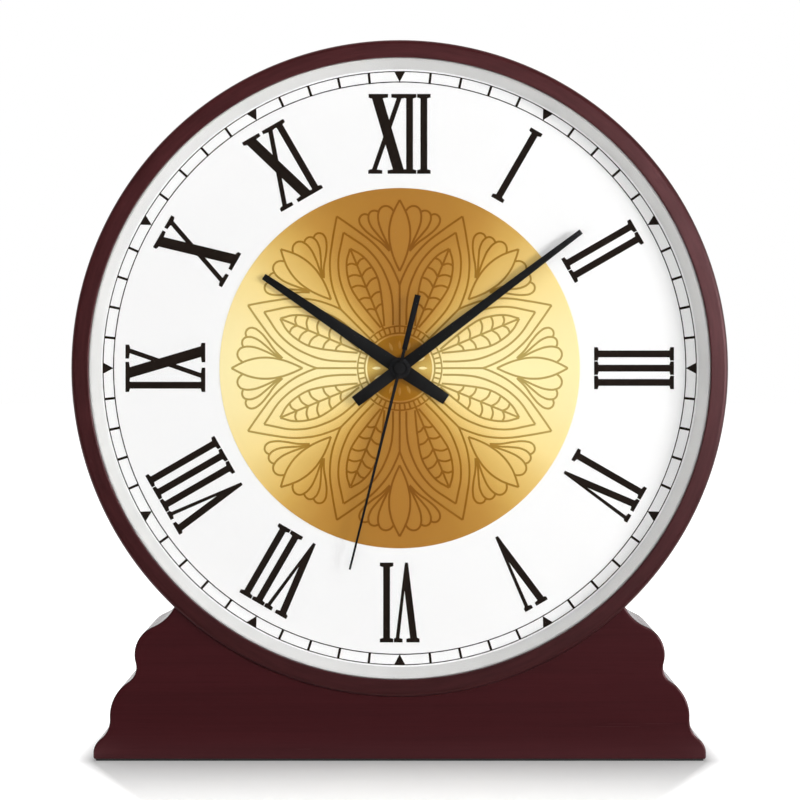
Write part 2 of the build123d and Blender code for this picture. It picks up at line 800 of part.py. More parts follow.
# Rear cover of the movement, with bearings for the arbors and pillars for the motor and the circuit
stator_pillars = [(rotor_axis[0] + side * stator_half_length, coil_axis[1]) for side in (-1, 1)]
circuit_pillars = [
    (board_right - pillar_inset, height)
    for height in (board_bottom + pillar_inset, board_top - pillar_inset)
]
with BuildPart() as movement_cover:
    with BuildSketch(facing(case_back)):
        RectangleRounded(case_size, case_size, case_corner)
    extrude(amount=case_back - shell_split)
    block(-case_size, case_size, -case_size, divider_top, shell_split, case_back, Mode.SUBTRACT)
    block(-inner_half, inner_half, divider_top, inner_half, shell_split, inner_back, Mode.SUBTRACT)
    for x, z in (centre_axis, third_axis, fifth_axis, rotor_axis):
        rod(pivot_radius + running_gap, inner_back, inner_back + pivot_depth, x, z, Mode.SUBTRACT)
    rod(shaft_radius + running_gap, inner_back, case_back, *setting_axis, Mode.SUBTRACT)
    for x, z in stator_pillars:
        rod(pillar_radius, stator_back, inner_back, x, z)
    for x, z in circuit_pillars:
        rod(pillar_radius, circuit_back, inner_back, x, z)
movement_cover.part.label = "movement_cover"
export_step(movement_cover.part, "parts/movement_cover.step")

# Plate between the motion work and the train
with BuildPart() as separator_plate:
    block(plate_margin - inner_half, inner_half - plate_margin, divider_top + plate_margin,
          inner_half - plate_margin, plate_front, plate_back)
    for (x, z), radius in (
        (centre_axis, minute_pipe_radius),
        (third_axis, arbor_radius),
        (fifth_axis, pivot_radius),
        (rotor_axis, pivot_radius),
        (setting_axis, shaft_radius),
    ):
        rod(radius + running_gap, plate_front, plate_back, x, z, Mode.SUBTRACT)
separator_plate.part.label = "separator_plate"
export_step(separator_plate.part, "parts/separator_plate.step")

# Bushing that passes through the board, and what clamps it
with BuildPart() as threaded_bushing:
    rod(bushing_radius, bushing_front, inner_front)
    rod(hour_pipe_radius + running_gap, bushing_front, inner_front, mode=Mode.SUBTRACT)
threaded_bushing.part.label = "threaded_bushing"
export_step(threaded_bushing.part, "parts/threaded_bushing.step")

with BuildPart() as hex_nut:
    with BuildSketch(facing(nut_back)):
        RegularPolygon(nut_across_flats / 2, 6, major_radius=False)
        Circle(bushing_radius, mode=Mode.SUBTRACT)
    extrude(amount=nut_thickness)
hex_nut.part.label = "hex_nut"
export_step(hex_nut.part, "parts/hex_nut.step")

with BuildPart() as nut_washer:
    rod(washer_radius, nut_back, pocket_back)
    rod(bushing_radius + hole_gap, nut_back, pocket_back, mode=Mode.SUBTRACT)
nut_washer.part.label = "nut_washer"
export_step(nut_washer.part, "parts/nut_washer.step")

with BuildPart() as rubber_gasket:
    rod(gasket_radius, board_back, case_front)
    rod(bushing_radius + hole_gap, board_back, case_front, mode=Mode.SUBTRACT)
rubber_gasket.part.label = "rubber_gasket"
export_step(rubber_gasket.part, "parts/rubber_gasket.step")


def lighten(teeth, module, hub_radius, layer, x=0.0, z=0.0):
    """Ring of round holes through a large wheel in the open part, between its hub and its rim."""
    rim_radius = teeth * module / 2 - 2 * module
    hole_radius = (rim_radius - hub_radius) / 4
    with BuildSketch(facing(case_front + layer + wheel_thickness, x, z)) as section:
        with PolarLocations((rim_radius + hub_radius) / 2, spoke_holes):
            Circle(hole_radius)
    extrude(section.sketch, amount=wheel_thickness, mode=Mode.SUBTRACT)


# Hour wheel with the pipe that carries the hour hand
motion_pinion_angle = motion_direction + 180
hour_wheel_angle = meshing_angle(
    motion_pinion_teeth, motion_pinion_angle, hour_wheel_teeth, motion_pinion_angle
)
hour_wheel_back = case_front + hour_layer + wheel_thickness
with BuildPart() as hour_wheel:
    wheel_disc(hour_wheel_teeth, motion_pinion_module, hour_wheel_angle, hour_layer, wheel_thickness)
    rod(hour_pipe_radius, hour_hand_front, hour_wheel_back)
    rod(minute_pipe_radius + running_gap, hour_hand_front, hour_wheel_back, mode=Mode.SUBTRACT)
hour_wheel.part.label = "hour_wheel"
export_step(hour_wheel.part, "parts/hour_wheel.step")

# Cannon pinion, the pipe that carries the minute hand
with BuildPart() as cannon_pinion:
    wheel_disc(cannon_teeth, cannon_module, motion_direction, motion_layer, pinion_thickness)
    rod(minute_pipe_radius, minute_hand_front, plate_back)
    rod(second_arbor_radius + running_gap, minute_hand_front, plate_back, mode=Mode.SUBTRACT)
cannon_pinion.part.label = "cannon_pinion"
export_step(cannon_pinion.part, "parts/cannon_pinion.step")

# Centre wheel, which grips the cannon pinion by friction
with BuildPart() as centre_wheel:
    wheel_disc(centre_wheel_teeth, centre_wheel_module, third_direction, centre_layer, wheel_thickness)
    lighten(centre_wheel_teeth, centre_wheel_module, minute_pipe_radius, centre_layer)
    rod(minute_pipe_radius, case_front + centre_layer, plate_front, mode=Mode.SUBTRACT)
centre_wheel.part.label = "centre_wheel"
export_step(centre_wheel.part, "parts/centre_wheel.step")

# Motion wheel on its post
motion_wheel_angle = meshing_angle(cannon_teeth, motion_direction, motion_wheel_teeth, motion_direction)
motion_wheel_back = case_front + motion_layer + wheel_thickness
pinion_layer = hour_layer - end_play / 2
with BuildPart() as motion_wheel:
    wheel_disc(motion_wheel_teeth, cannon_module, motion_wheel_angle, motion_layer,
               wheel_thickness, *motion_axis)
    lighten(motion_wheel_teeth, cannon_module, post_radius, motion_layer, *motion_axis)
    wheel_disc(motion_pinion_teeth, motion_pinion_module, motion_pinion_angle, pinion_layer,
               motion_layer - pinion_layer, *motion_axis)
    rod(post_radius + running_gap, inner_front, motion_wheel_back, *motion_axis, Mode.SUBTRACT)
motion_wheel.part.label = "motion_wheel"
export_step(motion_wheel.part, "parts/motion_wheel.step")

# Shoulders and pivot ends of the arbors
front_shoulder = inner_front + end_play
front_pivot = front_shoulder - pivot_depth
plate_shoulder = plate_back + end_play
plate_pivot = plate_shoulder - pivot_depth
back_shoulder = inner_back - end_play
back_pivot = back_shoulder + pivot_depth

# Third wheel
third_pinion_angle = meshing_angle(centre_wheel_teeth, third_direction, third_pinion_teeth, third_direction)
toward_centre = third_direction + 180
with BuildPart() as third_wheel:
    wheel_disc(third_wheel_teeth, second_pinion_module, toward_centre, third_layer,
               wheel_thickness, *third_axis)
    lighten(third_wheel_teeth, second_pinion_module, arbor_radius, third_layer, *third_axis)
    wheel_disc(third_pinion_teeth, centre_wheel_module, third_pinion_angle, centre_layer - end_play / 2,
               pinion_thickness, *third_axis)
    rod(arbor_radius, front_shoulder, back_shoulder, *third_axis)
    rod(pivot_radius, front_pivot, back_pivot, *third_axis)
third_wheel.part.label = "third_wheel"
export_step(third_wheel.part, "parts/third_wheel.step")

# Second wheel with the arbor that carries the second hand
second_pinion_angle = meshing_angle(third_wheel_teeth, toward_centre, second_pinion_teeth, toward_centre)
with BuildPart() as second_wheel:
    wheel_disc(second_wheel_teeth, fifth_pinion_module, fifth_direction, second_layer, wheel_thickness)
    wheel_disc(second_pinion_teeth, second_pinion_module, second_pinion_angle, third_layer - end_play / 2,
               second_layer + end_play - third_layer)
    rod(second_arbor_radius, second_hand_front, back_shoulder)
    rod(pivot_radius, back_shoulder, back_pivot)
second_wheel.part.label = "second_wheel"
export_step(second_wheel.part, "parts/second_wheel.step")

# Fifth wheel, between the second wheel and the rotor
fifth_pinion_angle = meshing_angle(second_wheel_teeth, fifth_direction, fifth_pinion_teeth, fifth_direction)
with BuildPart() as fifth_wheel:
    wheel_disc(fifth_wheel_teeth, rotor_module, rotor_direction, fifth_layer, wheel_thickness, *fifth_axis)
    wheel_disc(fifth_pinion_teeth, fifth_pinion_module, fifth_pinion_angle, second_layer - end_play / 2,
               fifth_layer + end_play - second_layer, *fifth_axis)
    rod(arbor_radius, plate_shoulder, back_shoulder, *fifth_axis)
    rod(pivot_radius, plate_pivot, back_pivot, *fifth_axis)
fifth_wheel.part.label = "fifth_wheel"
export_step(fifth_wheel.part, "parts/fifth_wheel.step")

# Rotor: a pinion on its arbor and the magnet that it carries
rotor_pinion_angle = meshing_angle(fifth_wheel_teeth, rotor_direction, rotor_pinion_teeth, rotor_direction)
magnet_front = case_front + magnet_layer
magnet_back = magnet_front + magnet_height
with BuildPart() as rotor_pinion:
    wheel_disc(rotor_pinion_teeth, rotor_module, rotor_pinion_angle, fifth_layer - end_play / 2,
               pinion_thickness, *rotor_axis)
    rod(rotor_arbor_radius, plate_shoulder, back_shoulder, *rotor_axis)
    rod(pivot_radius, plate_pivot, back_pivot, *rotor_axis)
rotor_pinion.part.label = "rotor_pinion"
export_step(rotor_pinion.part, "parts/rotor_pinion.step")

with BuildPart() as rotor_magnet:
    rod(magnet_radius, magnet_front, magnet_back, *rotor_axis)
    rod(rotor_arbor_radius, magnet_front, magnet_back, *rotor_axis, Mode.SUBTRACT)
rotor_magnet.part.label = "rotor_magnet"
export_step(rotor_magnet.part, "parts/rotor_magnet.step")

# Stator: a bar with a round pole piece and two legs that lead up to the coil's core
with BuildPart() as stator:
    with BuildSketch(facing(stator_back, *rotor_axis)):
        Rectangle(2 * stator_half_length + stator_leg_width, stator_bar_height)
        Circle(stator_pole_radius)
        with Locations(*[(side * stator_half_length, coil_height / 2) for side in (-1, 1)]):
            Rectangle(stator_leg_width, coil_height + core_height)
        Circle(stator_hole_radius, mode=Mode.SUBTRACT)
    extrude(amount=sheet_thickness)
stator.part.label = "stator"
export_step(stator.part, "parts/stator.step")

with BuildPart() as coil_core:
    core_half = stator_half_length + stator_leg_width / 2
    block(coil_axis[0] - core_half, coil_axis[0] + core_half, coil_axis[1] - core_height / 2,
          coil_axis[1] + core_height / 2, core_front, stator_front)
coil_core.part.label = "coil_core"
export_step(coil_core.part, "parts/coil_core.step")

# Bobbin and winding lie along X round the core
bobbin_half = stator_half_length - stator_leg_width / 2 - bobbin_clearance
bobbin_middle = facing(core_front + sheet_thickness / 2, *coil_axis).origin
bobbin_plane = Plane(origin=bobbin_middle, x_dir=(0, 1, 0), z_dir=(1, 0, 0))
with BuildPart() as coil_bobbin:
    with BuildSketch(bobbin_plane):
        Circle(bobbin_barrel_radius)
    extrude(amount=bobbin_half, both=True)
    for side in (-1, 1):
        with BuildSketch(bobbin_plane.offset(side * (bobbin_half - bobbin_flange / 2))):
            Circle(bobbin_flange_radius)
        extrude(amount=bobbin_flange / 2, both=True)
    with BuildSketch(bobbin_plane):
        Rectangle(sheet_thickness + 2 * bobbin_clearance, core_height + 2 * bobbin_clearance)
    extrude(amount=bobbin_half, both=True, mode=Mode.SUBTRACT)
coil_bobbin.part.label = "coil_bobbin"
export_step(coil_bobbin.part, "parts/coil_bobbin.step")

with BuildPart() as coil_winding:
    with BuildSketch(bobbin_plane):
        Circle(winding_radius)
        Circle(bobbin_barrel_radius, mode=Mode.SUBTRACT)
    extrude(amount=bobbin_half - bobbin_flange, both=True)
coil_winding.part.label = "coil_winding"
export_step(coil_winding.part, "parts/coil_winding.step")

# Circuit board with its crystal and its chip under a drop of resin
with BuildPart() as circuit_board:
    block(board_right - circuit_width, board_right, board_bottom, board_top, circuit_front, circuit_back)
circuit_board.part.label = "circuit_board"
export_step(circuit_board.part, "parts/circuit_board.step")

board_middle = board_right - circuit_width / 2
crystal_high = board_top - circuit_height / 4
crystal_origin = facing(circuit_front - crystal_radius, board_middle, crystal_high).origin
with BuildPart() as quartz_crystal:
    with BuildSketch(Plane(origin=crystal_origin, x_dir=(0, 1, 0), z_dir=(1, 0, 0))):
        Circle(crystal_radius)
    extrude(amount=crystal_length / 2, both=True)
    fillet(quartz_crystal.edges().filter_by(GeomType.CIRCLE), crystal_round)
quartz_crystal.part.label = "quartz_crystal"
export_step(quartz_crystal.part, "parts/quartz_crystal.step")

chip_high = board_bottom + circuit_height / 3
with BuildPart() as chip_resin:
    rod(chip_radius, circuit_front - chip_height, circuit_front, board_middle, chip_high)
    fillet(chip_resin.edges().group_by(Axis.Y)[0], chip_round)
chip_resin.part.label = "chip_resin"
export_step(chip_resin.part, "parts/chip_resin.step")

# Cell, lying in its bay with its tip to the left
cell_origin = facing(cell_depth, cell_left, cell_height).origin
cell_plane = Plane(origin=cell_origin, x_dir=(0, 1, 0), z_dir=(1, 0, 0))
with BuildPart() as battery_cell:
    with BuildSketch(cell_plane.offset(cell_tip_length)):
        Circle(cell_radius)
    extrude(amount=cell_length - cell_tip_length)
    fillet(battery_cell.edges().filter_by(GeomType.CIRCLE), cell_end_round)
    with BuildSketch(cell_plane):
        Circle(cell_tip_radius)
    extrude(amount=cell_tip_length)
battery_cell.part.label = "battery_cell"
export_step(battery_cell.part, "parts/battery_cell.step")

# Contact strips that lead from the cell's ends to the circuit board
pad_front = cell_depth - contact_width / 2
pad_low = cell_height - contact_width / 2
pad_high = cell_height + contact_width / 2
with BuildPart() as positive_contact:
    strip_left = -inner_half
    strip_right = contact_thickness - inner_half
    block(strip_left, strip_right, pad_low, pad_high, pad_front, pad_front + contact_width)
    block(strip_left, strip_right, cell_height, board_top, strip_front, strip_back)
positive_contact.part.label = "positive_contact"
export_step(positive_contact.part, "parts/positive_contact.step")

spring_tip = cell_left + cell_length + contact_slack
spring_root = inner_half - contact_thickness
spring_plane = Plane.XY.offset(dial_height + pad_low)
depth_to_y = -overall_depth / 2
riser_left = negative_riser_inset - inner_half
with BuildPart() as negative_contact:
    block(spring_root, inner_half, pad_low, pad_high, pad_front, pad_front + contact_width)
    block(spring_root, inner_half, cell_height, divider_top + contact_thickness, strip_front, strip_back)
    block(riser_left, inner_half, divider_top, divider_top + contact_thickness, strip_front, strip_back)
    block(riser_left, riser_left + contact_thickness, divider_top, board_bottom, strip_front, strip_back)
    with BuildSketch(spring_plane):
        spring_middle = cell_depth + depth_to_y
        reach = contact_width / 2
        Polygon(
            (spring_root, spring_middle - reach),
            (spring_tip, spring_middle),
            (spring_root, spring_middle + reach),
            (spring_root, spring_middle + reach - 2 * contact_thickness),
            (spring_tip + 2 * contact_thickness, spring_middle),
            (spring_root, spring_middle - reach + 2 * contact_thickness),
        )
    extrude(amount=contact_width)
negative_contact.part.label = "negative_contact"
export_step(negative_contact.part, "parts/negative_contact.step")

# Setting shaft, and the knob on its end behind the movement
setting_angle = meshing_angle(motion_wheel_teeth, motion_wheel_angle, setting_teeth, setting_direction)
knob_front = case_back + knob_gap
knob_back = knob_front + knob_height
shaft_back = knob_back - knob_floor
with BuildPart() as setting_shaft:
    wheel_disc(setting_teeth, cannon_module, setting_angle, motion_layer - end_play / 2,
               pinion_thickness, *setting_axis)
    rod(shaft_radius, front_shoulder, shaft_back, *setting_axis)
    rod(pivot_radius, front_pivot, front_shoulder, *setting_axis)
setting_shaft.part.label = "setting_shaft"
export_step(setting_shaft.part, "parts/setting_shaft.step")

with BuildPart() as setting_knob:
    with BuildSketch(facing(knob_back, *setting_axis)):
        Circle(knob_radius)
        with PolarLocations(knob_radius, knob_flutes):
            Circle(knob_flute_radius, mode=Mode.SUBTRACT)
    extrude(amount=knob_height)
    rod(shaft_radius, knob_front, shaft_back, *setting_axis, Mode.SUBTRACT)
setting_knob.part.label = "setting_knob"
export_step(setting_knob.part, "parts/setting_knob.step")
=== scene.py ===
"""Looks of a wooden table clock: its finishes, its printed rosette, its fine pieces and its studio."""

from __future__ import annotations

import json
import logging
from dataclasses import dataclass, field, replace
from enum import Enum
from math import atan2, cos, pi, radians, sin
from typing import Callable, Iterable, Sequence

import bpy
from mathutils import Matrix, Vector

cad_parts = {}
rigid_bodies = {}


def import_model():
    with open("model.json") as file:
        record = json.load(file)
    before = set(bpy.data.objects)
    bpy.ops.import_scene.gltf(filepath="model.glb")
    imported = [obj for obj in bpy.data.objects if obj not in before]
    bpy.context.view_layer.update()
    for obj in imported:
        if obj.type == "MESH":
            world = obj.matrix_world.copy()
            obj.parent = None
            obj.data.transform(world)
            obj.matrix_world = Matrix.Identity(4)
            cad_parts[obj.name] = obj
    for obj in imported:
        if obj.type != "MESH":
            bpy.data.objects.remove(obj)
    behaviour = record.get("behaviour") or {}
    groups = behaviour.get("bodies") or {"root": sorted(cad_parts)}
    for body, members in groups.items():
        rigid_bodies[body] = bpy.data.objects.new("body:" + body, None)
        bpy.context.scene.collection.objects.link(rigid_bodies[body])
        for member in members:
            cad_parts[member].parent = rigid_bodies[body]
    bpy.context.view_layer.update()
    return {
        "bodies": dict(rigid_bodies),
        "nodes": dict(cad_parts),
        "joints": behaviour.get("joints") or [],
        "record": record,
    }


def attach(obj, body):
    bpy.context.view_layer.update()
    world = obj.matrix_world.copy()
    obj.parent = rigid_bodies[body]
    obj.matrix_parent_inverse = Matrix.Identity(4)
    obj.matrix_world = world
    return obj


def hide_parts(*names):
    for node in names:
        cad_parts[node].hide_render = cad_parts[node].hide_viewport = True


LOG = logging.getLogger("table_clock")

# Lengths in metres: one millimetre, the dial's centre above the table, the front, how near a picked element
# lies to the place that is meant, and how near two points lie that become one
MM = 0.001
DIAL_HEIGHT = 179.6 * MM
FRONT = -27.5 * MM
NEARBY = 0.0001
MERGE = 0.000002
WIDE_MERGE = 0.000005

Point = tuple[float, float]
Colour = tuple[float, float, float, float]
Piece = bpy.types.Object
Socket = bpy.types.NodeSocket
Tree = bpy.types.NodeTree

WHITE: Colour = (1.0, 1.0, 1.0, 1.0)
GREY: Colour = (0.5, 0.5, 0.5, 1.0)
BLACK: Colour = (0.0, 0.0, 0.0, 1.0)
ORIGIN = (0.0, 0.0, 0.0)


# Colours, nodes and shared shader groups


def tone(red: int, green: int, blue: int) -> Colour:
    """Turn a screen colour into a linear one.

    Args:
        red: Red from 0 to 255.
        green: Green from 0 to 255.
        blue: Blue from 0 to 255.

    Returns:
        The colour with an alpha of one.
    """

    def linear(value: int) -> float:
        """Return one channel without the screen's curve."""
        share = value / 255
        return share / 12.92 if share <= 0.04045 else ((share + 0.055) / 1.055) ** 2.4

    return (linear(red), linear(green), linear(blue), 1.0)


class Graph:
    """Short way to add and join nodes in one shader tree."""

    def __init__(self, tree: Tree) -> None:
        """Keep the tree that the nodes go into."""
        self.tree = tree

    def fill(self, node: bpy.types.Node, inputs: dict[str | int, object]) -> bpy.types.Node:
        """Fill or join a node's inputs.

        Args:
            node: The node.
            inputs: Values or output sockets by input name or index.

        Returns:
            The node.
        """
        for key, value in inputs.items():
            if isinstance(value, Socket):
                self.tree.links.new(value, node.inputs[key])
            else:
                node.inputs[key].default_value = value
        return node

    def add(self, kind: str, inputs: dict[str | int, object], **settings: object) -> bpy.types.NodeOutputs:
        """Add a node, set its options and fill or join its inputs.

        Args:
            kind: Node type, without the leading "ShaderNode".
            inputs: Values or output sockets by input name or index.
            **settings: Options of the node.

        Returns:
            The new node's outputs.
        """
        node = self.tree.nodes.new("ShaderNode" + kind)
        for option, value in settings.items():
            setattr(node, option, value)
        return self.fill(node, inputs).outputs

    def math(self, operation: str, *values: object, clamp: bool = False) -> Socket:
        """Add a Math node and return its value."""
        return self.add("Math", dict(enumerate(values)), operation=operation, use_clamp=clamp)[0]

    def level(self, value: Socket, gain: float, shift: object, clamp: bool = False) -> Socket:
        """Multiply a value by a gain, add a shift and return the result."""
        return self.math("MULTIPLY_ADD", value, gain, shift, clamp=clamp)

    def swing(self, noise: Socket, width: Socket) -> Socket:
        """Return how far a noise lies from its middle, times a width."""
        return self.math("MULTIPLY", self.math("SUBTRACT", noise, 0.5), width)

    def most(self, first: object, *others: object) -> Socket:
        """Compare values.

        Args:
            first: The first value.
            *others: The other values.

        Returns:
            The largest one.
        """
        for other in others:
            first = self.math("MAXIMUM", first, other)
        return first

    def vector(self, operation: str, *values: object) -> bpy.types.NodeOutputs:
        """Add a Vector Math node and return its outputs."""
        return self.add("VectorMath", dict(enumerate(values)), operation=operation)

    def parts(self, vector: Socket) -> bpy.types.NodeOutputs:
        """Split a vector and return its three parts."""
        return self.add("SeparateXYZ", {0: vector})

    def from_dial(self, place: Socket) -> Socket:
        """Return the way from the dial's axis to a place, seen from the front."""
        centred = self.vector("ADD", place, (0.0, 0.0, -DIAL_HEIGHT))[0]
        return self.vector("MULTIPLY", centred, (1.0, 0.0, 1.0))[0]

    def noise(
        self, place: Socket, scale: object = 1.0, detail: float = 2.0, offset: Socket | None = None
    ) -> Socket:
        """Add a noise.

        Args:
            place: Vector at which it is read.
            scale: How often it repeats per metre.
            detail: How many finer layers it has.
            offset: Fourth coordinate, if it has one.

        Returns:
            Its value, about one half.
        """
        inputs = {"Vector": place, "Scale": scale, "Detail": detail}
        if offset is None:
            return self.add("TexNoise", inputs)[0]
        return self.add("TexNoise", {**inputs, "W": offset}, noise_dimensions="4D")[0]

    def mix(self, factor: object, first: object, second: object) -> Socket:
        """Mix two colours and return the result."""
        return self.add("Mix", {0: factor, 6: first, 7: second}, data_type="RGBA")[2]

    def ramp(self, factor: Socket, stops: Sequence[tuple[float, Colour]]) -> Socket:
        """Send a value through a colour ramp.

        Args:
            factor: The value.
            stops: Place and colour of each stop, in order.

        Returns:
            The colour.
        """
        node = self.fill(self.tree.nodes.new("ShaderNodeValToRGB"), {0: factor})
        elements = node.color_ramp.elements
        while len(elements) < len(stops):
            elements.new(0.5)
        for element, (place, colour) in zip(elements, stops):
            element.position = place
            element.color = colour
        return node.outputs[0]

    def effect(self, effect: Effect, place: Socket, **values: object) -> bpy.types.NodeOutputs:
        """Place an effect's shared group with its own values and return its outputs."""
        return self.add("Group", {"Vector": place, **values}, node_tree=SHELF.take(effect))

    def deliver(self, **values: Socket) -> Tree:
        """Name and join the outputs of a shared group.

        Args:
            **values: Value of each output. "Color" is a colour, the others are numbers.

        Returns:
            The group.
        """
        for name in values:
            kind = "NodeSocketColor" if name == "Color" else "NodeSocketFloat"
            self.tree.interface.new_socket(name, in_out="OUTPUT", socket_type=kind)
        self.fill(self.tree.nodes.new("NodeGroupOutput"), values)
        return self.tree


def bare_graph(holder: bpy.types.Material | bpy.types.World) -> Graph:
    """Switch on a material's or a world's nodes and clear them.

    Args:
        holder: The material or the world.

    Returns:
        Its empty graph.
    """
    holder.use_nodes = True
    holder.node_tree.nodes.clear()
    return Graph(holder.node_tree)


class Effect(Enum):
    """Shader groups that several finishes share."""

    WOOD_GRAIN = "Wood grain"
    MOTTLE = "Mottle"
    BRUSH_LINES = "Brush lines"
    GILT_SWEEP = "Gilt sweep"


@dataclass
class EffectShelf:
    """Builds each shared shader group once and hands it out."""

    made: dict[Effect, Tree] = field(default_factory=dict)

    def take(self, effect: Effect) -> Tree:
        """Hand out an effect's group, which is built at the first call.

        Args:
            effect: The effect.

        Returns:
            Its group.
        """
        if effect not in self.made:
            builders: dict[Effect, Callable[[], Tree]] = {
                Effect.WOOD_GRAIN: self._wood_grain,
                Effect.MOTTLE: self._mottle,
                Effect.BRUSH_LINES: self._brush_lines,
                Effect.GILT_SWEEP: self._gilt_sweep,
            }
            self.made[effect] = builders[effect]()
        return self.made[effect]

    @staticmethod
    def _open(effect: Effect, **inputs: object) -> tuple[Graph, bpy.types.NodeOutputs]:
        """Start a group with a vector and other named inputs.

        Args:
            effect: The effect, whose value names the group.
            **inputs: Default of each other input: a number, a vector of three or a colour of four.

        Returns:
            The group's graph, and what its inputs bring.
        """
        tree = bpy.data.node_groups.new(effect.value, "ShaderNodeTree")
        kinds = {3: "NodeSocketVector", 4: "NodeSocketColor"}
        for name, default in {"Vector": ORIGIN, **inputs}.items():
            kind = "NodeSocketFloat" if isinstance(default, float) else kinds[len(default)]
            tree.interface.new_socket(name, in_out="INPUT", socket_type=kind).default_value = default
        return Graph(tree), tree.nodes.new("NodeGroupInput").outputs

    def _wood_grain(self) -> Tree:
        """Long soft bands, fine fibres and short dark pores, all stretched along the vector's first axis.

        Returns:
            The group.
        """
        g, given = self._open(Effect.WOOD_GRAIN, Offset=0.0, Dark=GREY, Light=GREY, Band=1.0, Pores=0.5)

        def finer(stretch: tuple[float, float, float], detail: float) -> Socket:
            """Return a noise that is finer than the bands, along the grain and across it."""
            offset = g.math("MULTIPLY", given["Offset"], stretch[1])
            return g.noise(g.vector("MULTIPLY", given["Vector"], stretch)[0], detail=detail, offset=offset)

        wave = g.noise(given["Vector"], detail=3.0, offset=given["Offset"])
        fibre = finer((1.6, 7.0, 7.0), 4.0)
        pore = finer((7.0, 18.0, 18.0), 1.0)
        banding = g.swing(wave, given["Band"])
        figure = g.math("ADD", g.level(fibre, gain=0.7, shift=0.15), banding, clamp=True)
        pore_mask = g.level(pore, gain=9.0, shift=-5.4, clamp=True)
        darkening = g.math("MULTIPLY", pore_mask, given["Pores"])
        plain = g.mix(figure, given["Dark"], given["Light"])
        return g.deliver(
            Color=g.mix(darkening, plain, given["Dark"]),
            Roughness=g.level(figure, gain=-0.10, shift=0.05),
            Height=g.math("SUBTRACT", g.math("MULTIPLY", fibre, 0.5), darkening),
        )

    def _mottle(self) -> Tree:
        """Cloudy change of a colour and of its roughness, with a finer grain for the surface.

        Returns:
            The group.
        """
        g, given = self._open(
            Effect.MOTTLE, Base=GREY, Other=GREY, Cloud=40.0, Grain=2500.0, Roughness=0.5, Spread=0.1
        )
        cloud = g.noise(given["Vector"], given["Cloud"], detail=4.0)
        grain = g.noise(given["Vector"], given["Grain"])
        share = g.level(cloud, gain=2.4, shift=-0.7, clamp=True)
        blend = g.math("ADD", share, g.level(grain, gain=0.5, shift=-0.25), clamp=True)
        return g.deliver(
            Color=g.mix(blend, given["Base"], given["Other"]),
            Roughness=g.math("ADD", given["Roughness"], g.swing(cloud, given["Spread"])),
            Height=grain,
        )

    def _brush_lines(self) -> Tree:
        """Fine parallel lines, across the axis along which the vector is stretched.

        Returns:
            The group.
        """
        g, given = self._open(Effect.BRUSH_LINES, Stretch=ORIGIN, Base=GREY, Other=GREY, Roughness=0.3)
        lines = g.noise(g.vector("MULTIPLY", given["Vector"], given["Stretch"])[0], detail=3.0)
        cloud = g.noise(given["Vector"], scale=60.0)
        change = g.level(g.math("ADD", lines, cloud), gain=0.12, shift=-0.12)
        blend = g.level(lines, gain=1.6, shift=-0.3, clamp=True)
        return g.deliver(
            Color=g.mix(blend, given["Base"], given["Other"]),
            Roughness=g.math("ADD", given["Roughness"], change),
            Height=lines,
        )

    def _gilt_sweep(self) -> Tree:
        """Sweep from 0 at the dial's sides to 1 at its top and its bottom, with a foil grain.

        Returns:
            The group.
        """
        g, given = self._open(Effect.GILT_SWEEP, Cloud=0.05)
        unit = g.vector("NORMALIZE", g.from_dial(given["Vector"]))[0]
        upright = g.math("ABSOLUTE", g.parts(unit)[2])
        cloud = g.noise(given["Vector"], scale=90.0, detail=3.0)
        return g.deliver(
            Sweep=g.math("ADD", upright, g.swing(cloud, given["Cloud"]), clamp=True),
            Roughness=g.level(cloud, gain=0.12, shift=0.40),
            Height=g.noise(given["Vector"], scale=2600.0),
        )


SHELF = EffectShelf()


# Finishes


class Grain(Enum):
    """Way in which a piece's wood grain runs."""

    ALONG_BOARD = "along the board, left to right"
    UPRIGHT = "up and down"
    ROUND_RING = "round the ring"


@dataclass(frozen=True)
class Finish:
    """What every finish has in common: its name and its way to a material."""

    name: str

    def material(self) -> bpy.types.Material:
        """Build the finish.

        Returns:
            Its material.
        """
        material = bpy.data.materials.new(self.name)
        graph = bare_graph(material)
        place = graph.add("TexCoord", {})["Object"]
        graph.add("OutputMaterial", {"Surface": self.surface(graph, place)})
        return material

    def surface(self, graph: Graph, place: Socket) -> Socket:
        """Return the shader of the finish, from the place on the piece."""
        raise NotImplementedError

    @staticmethod
    def skin(graph: Graph, height: Socket, relief: float, inputs: dict[str, object]) -> Socket:
        """Return a Principled shader, whose surface rises with a height by a relief in metres."""
        normal = graph.add("Bump", {"Height": height, "Distance": relief, "Strength": 0.6})[0]
        return graph.add("BsdfPrincipled", {**inputs, "Normal": normal})[0]


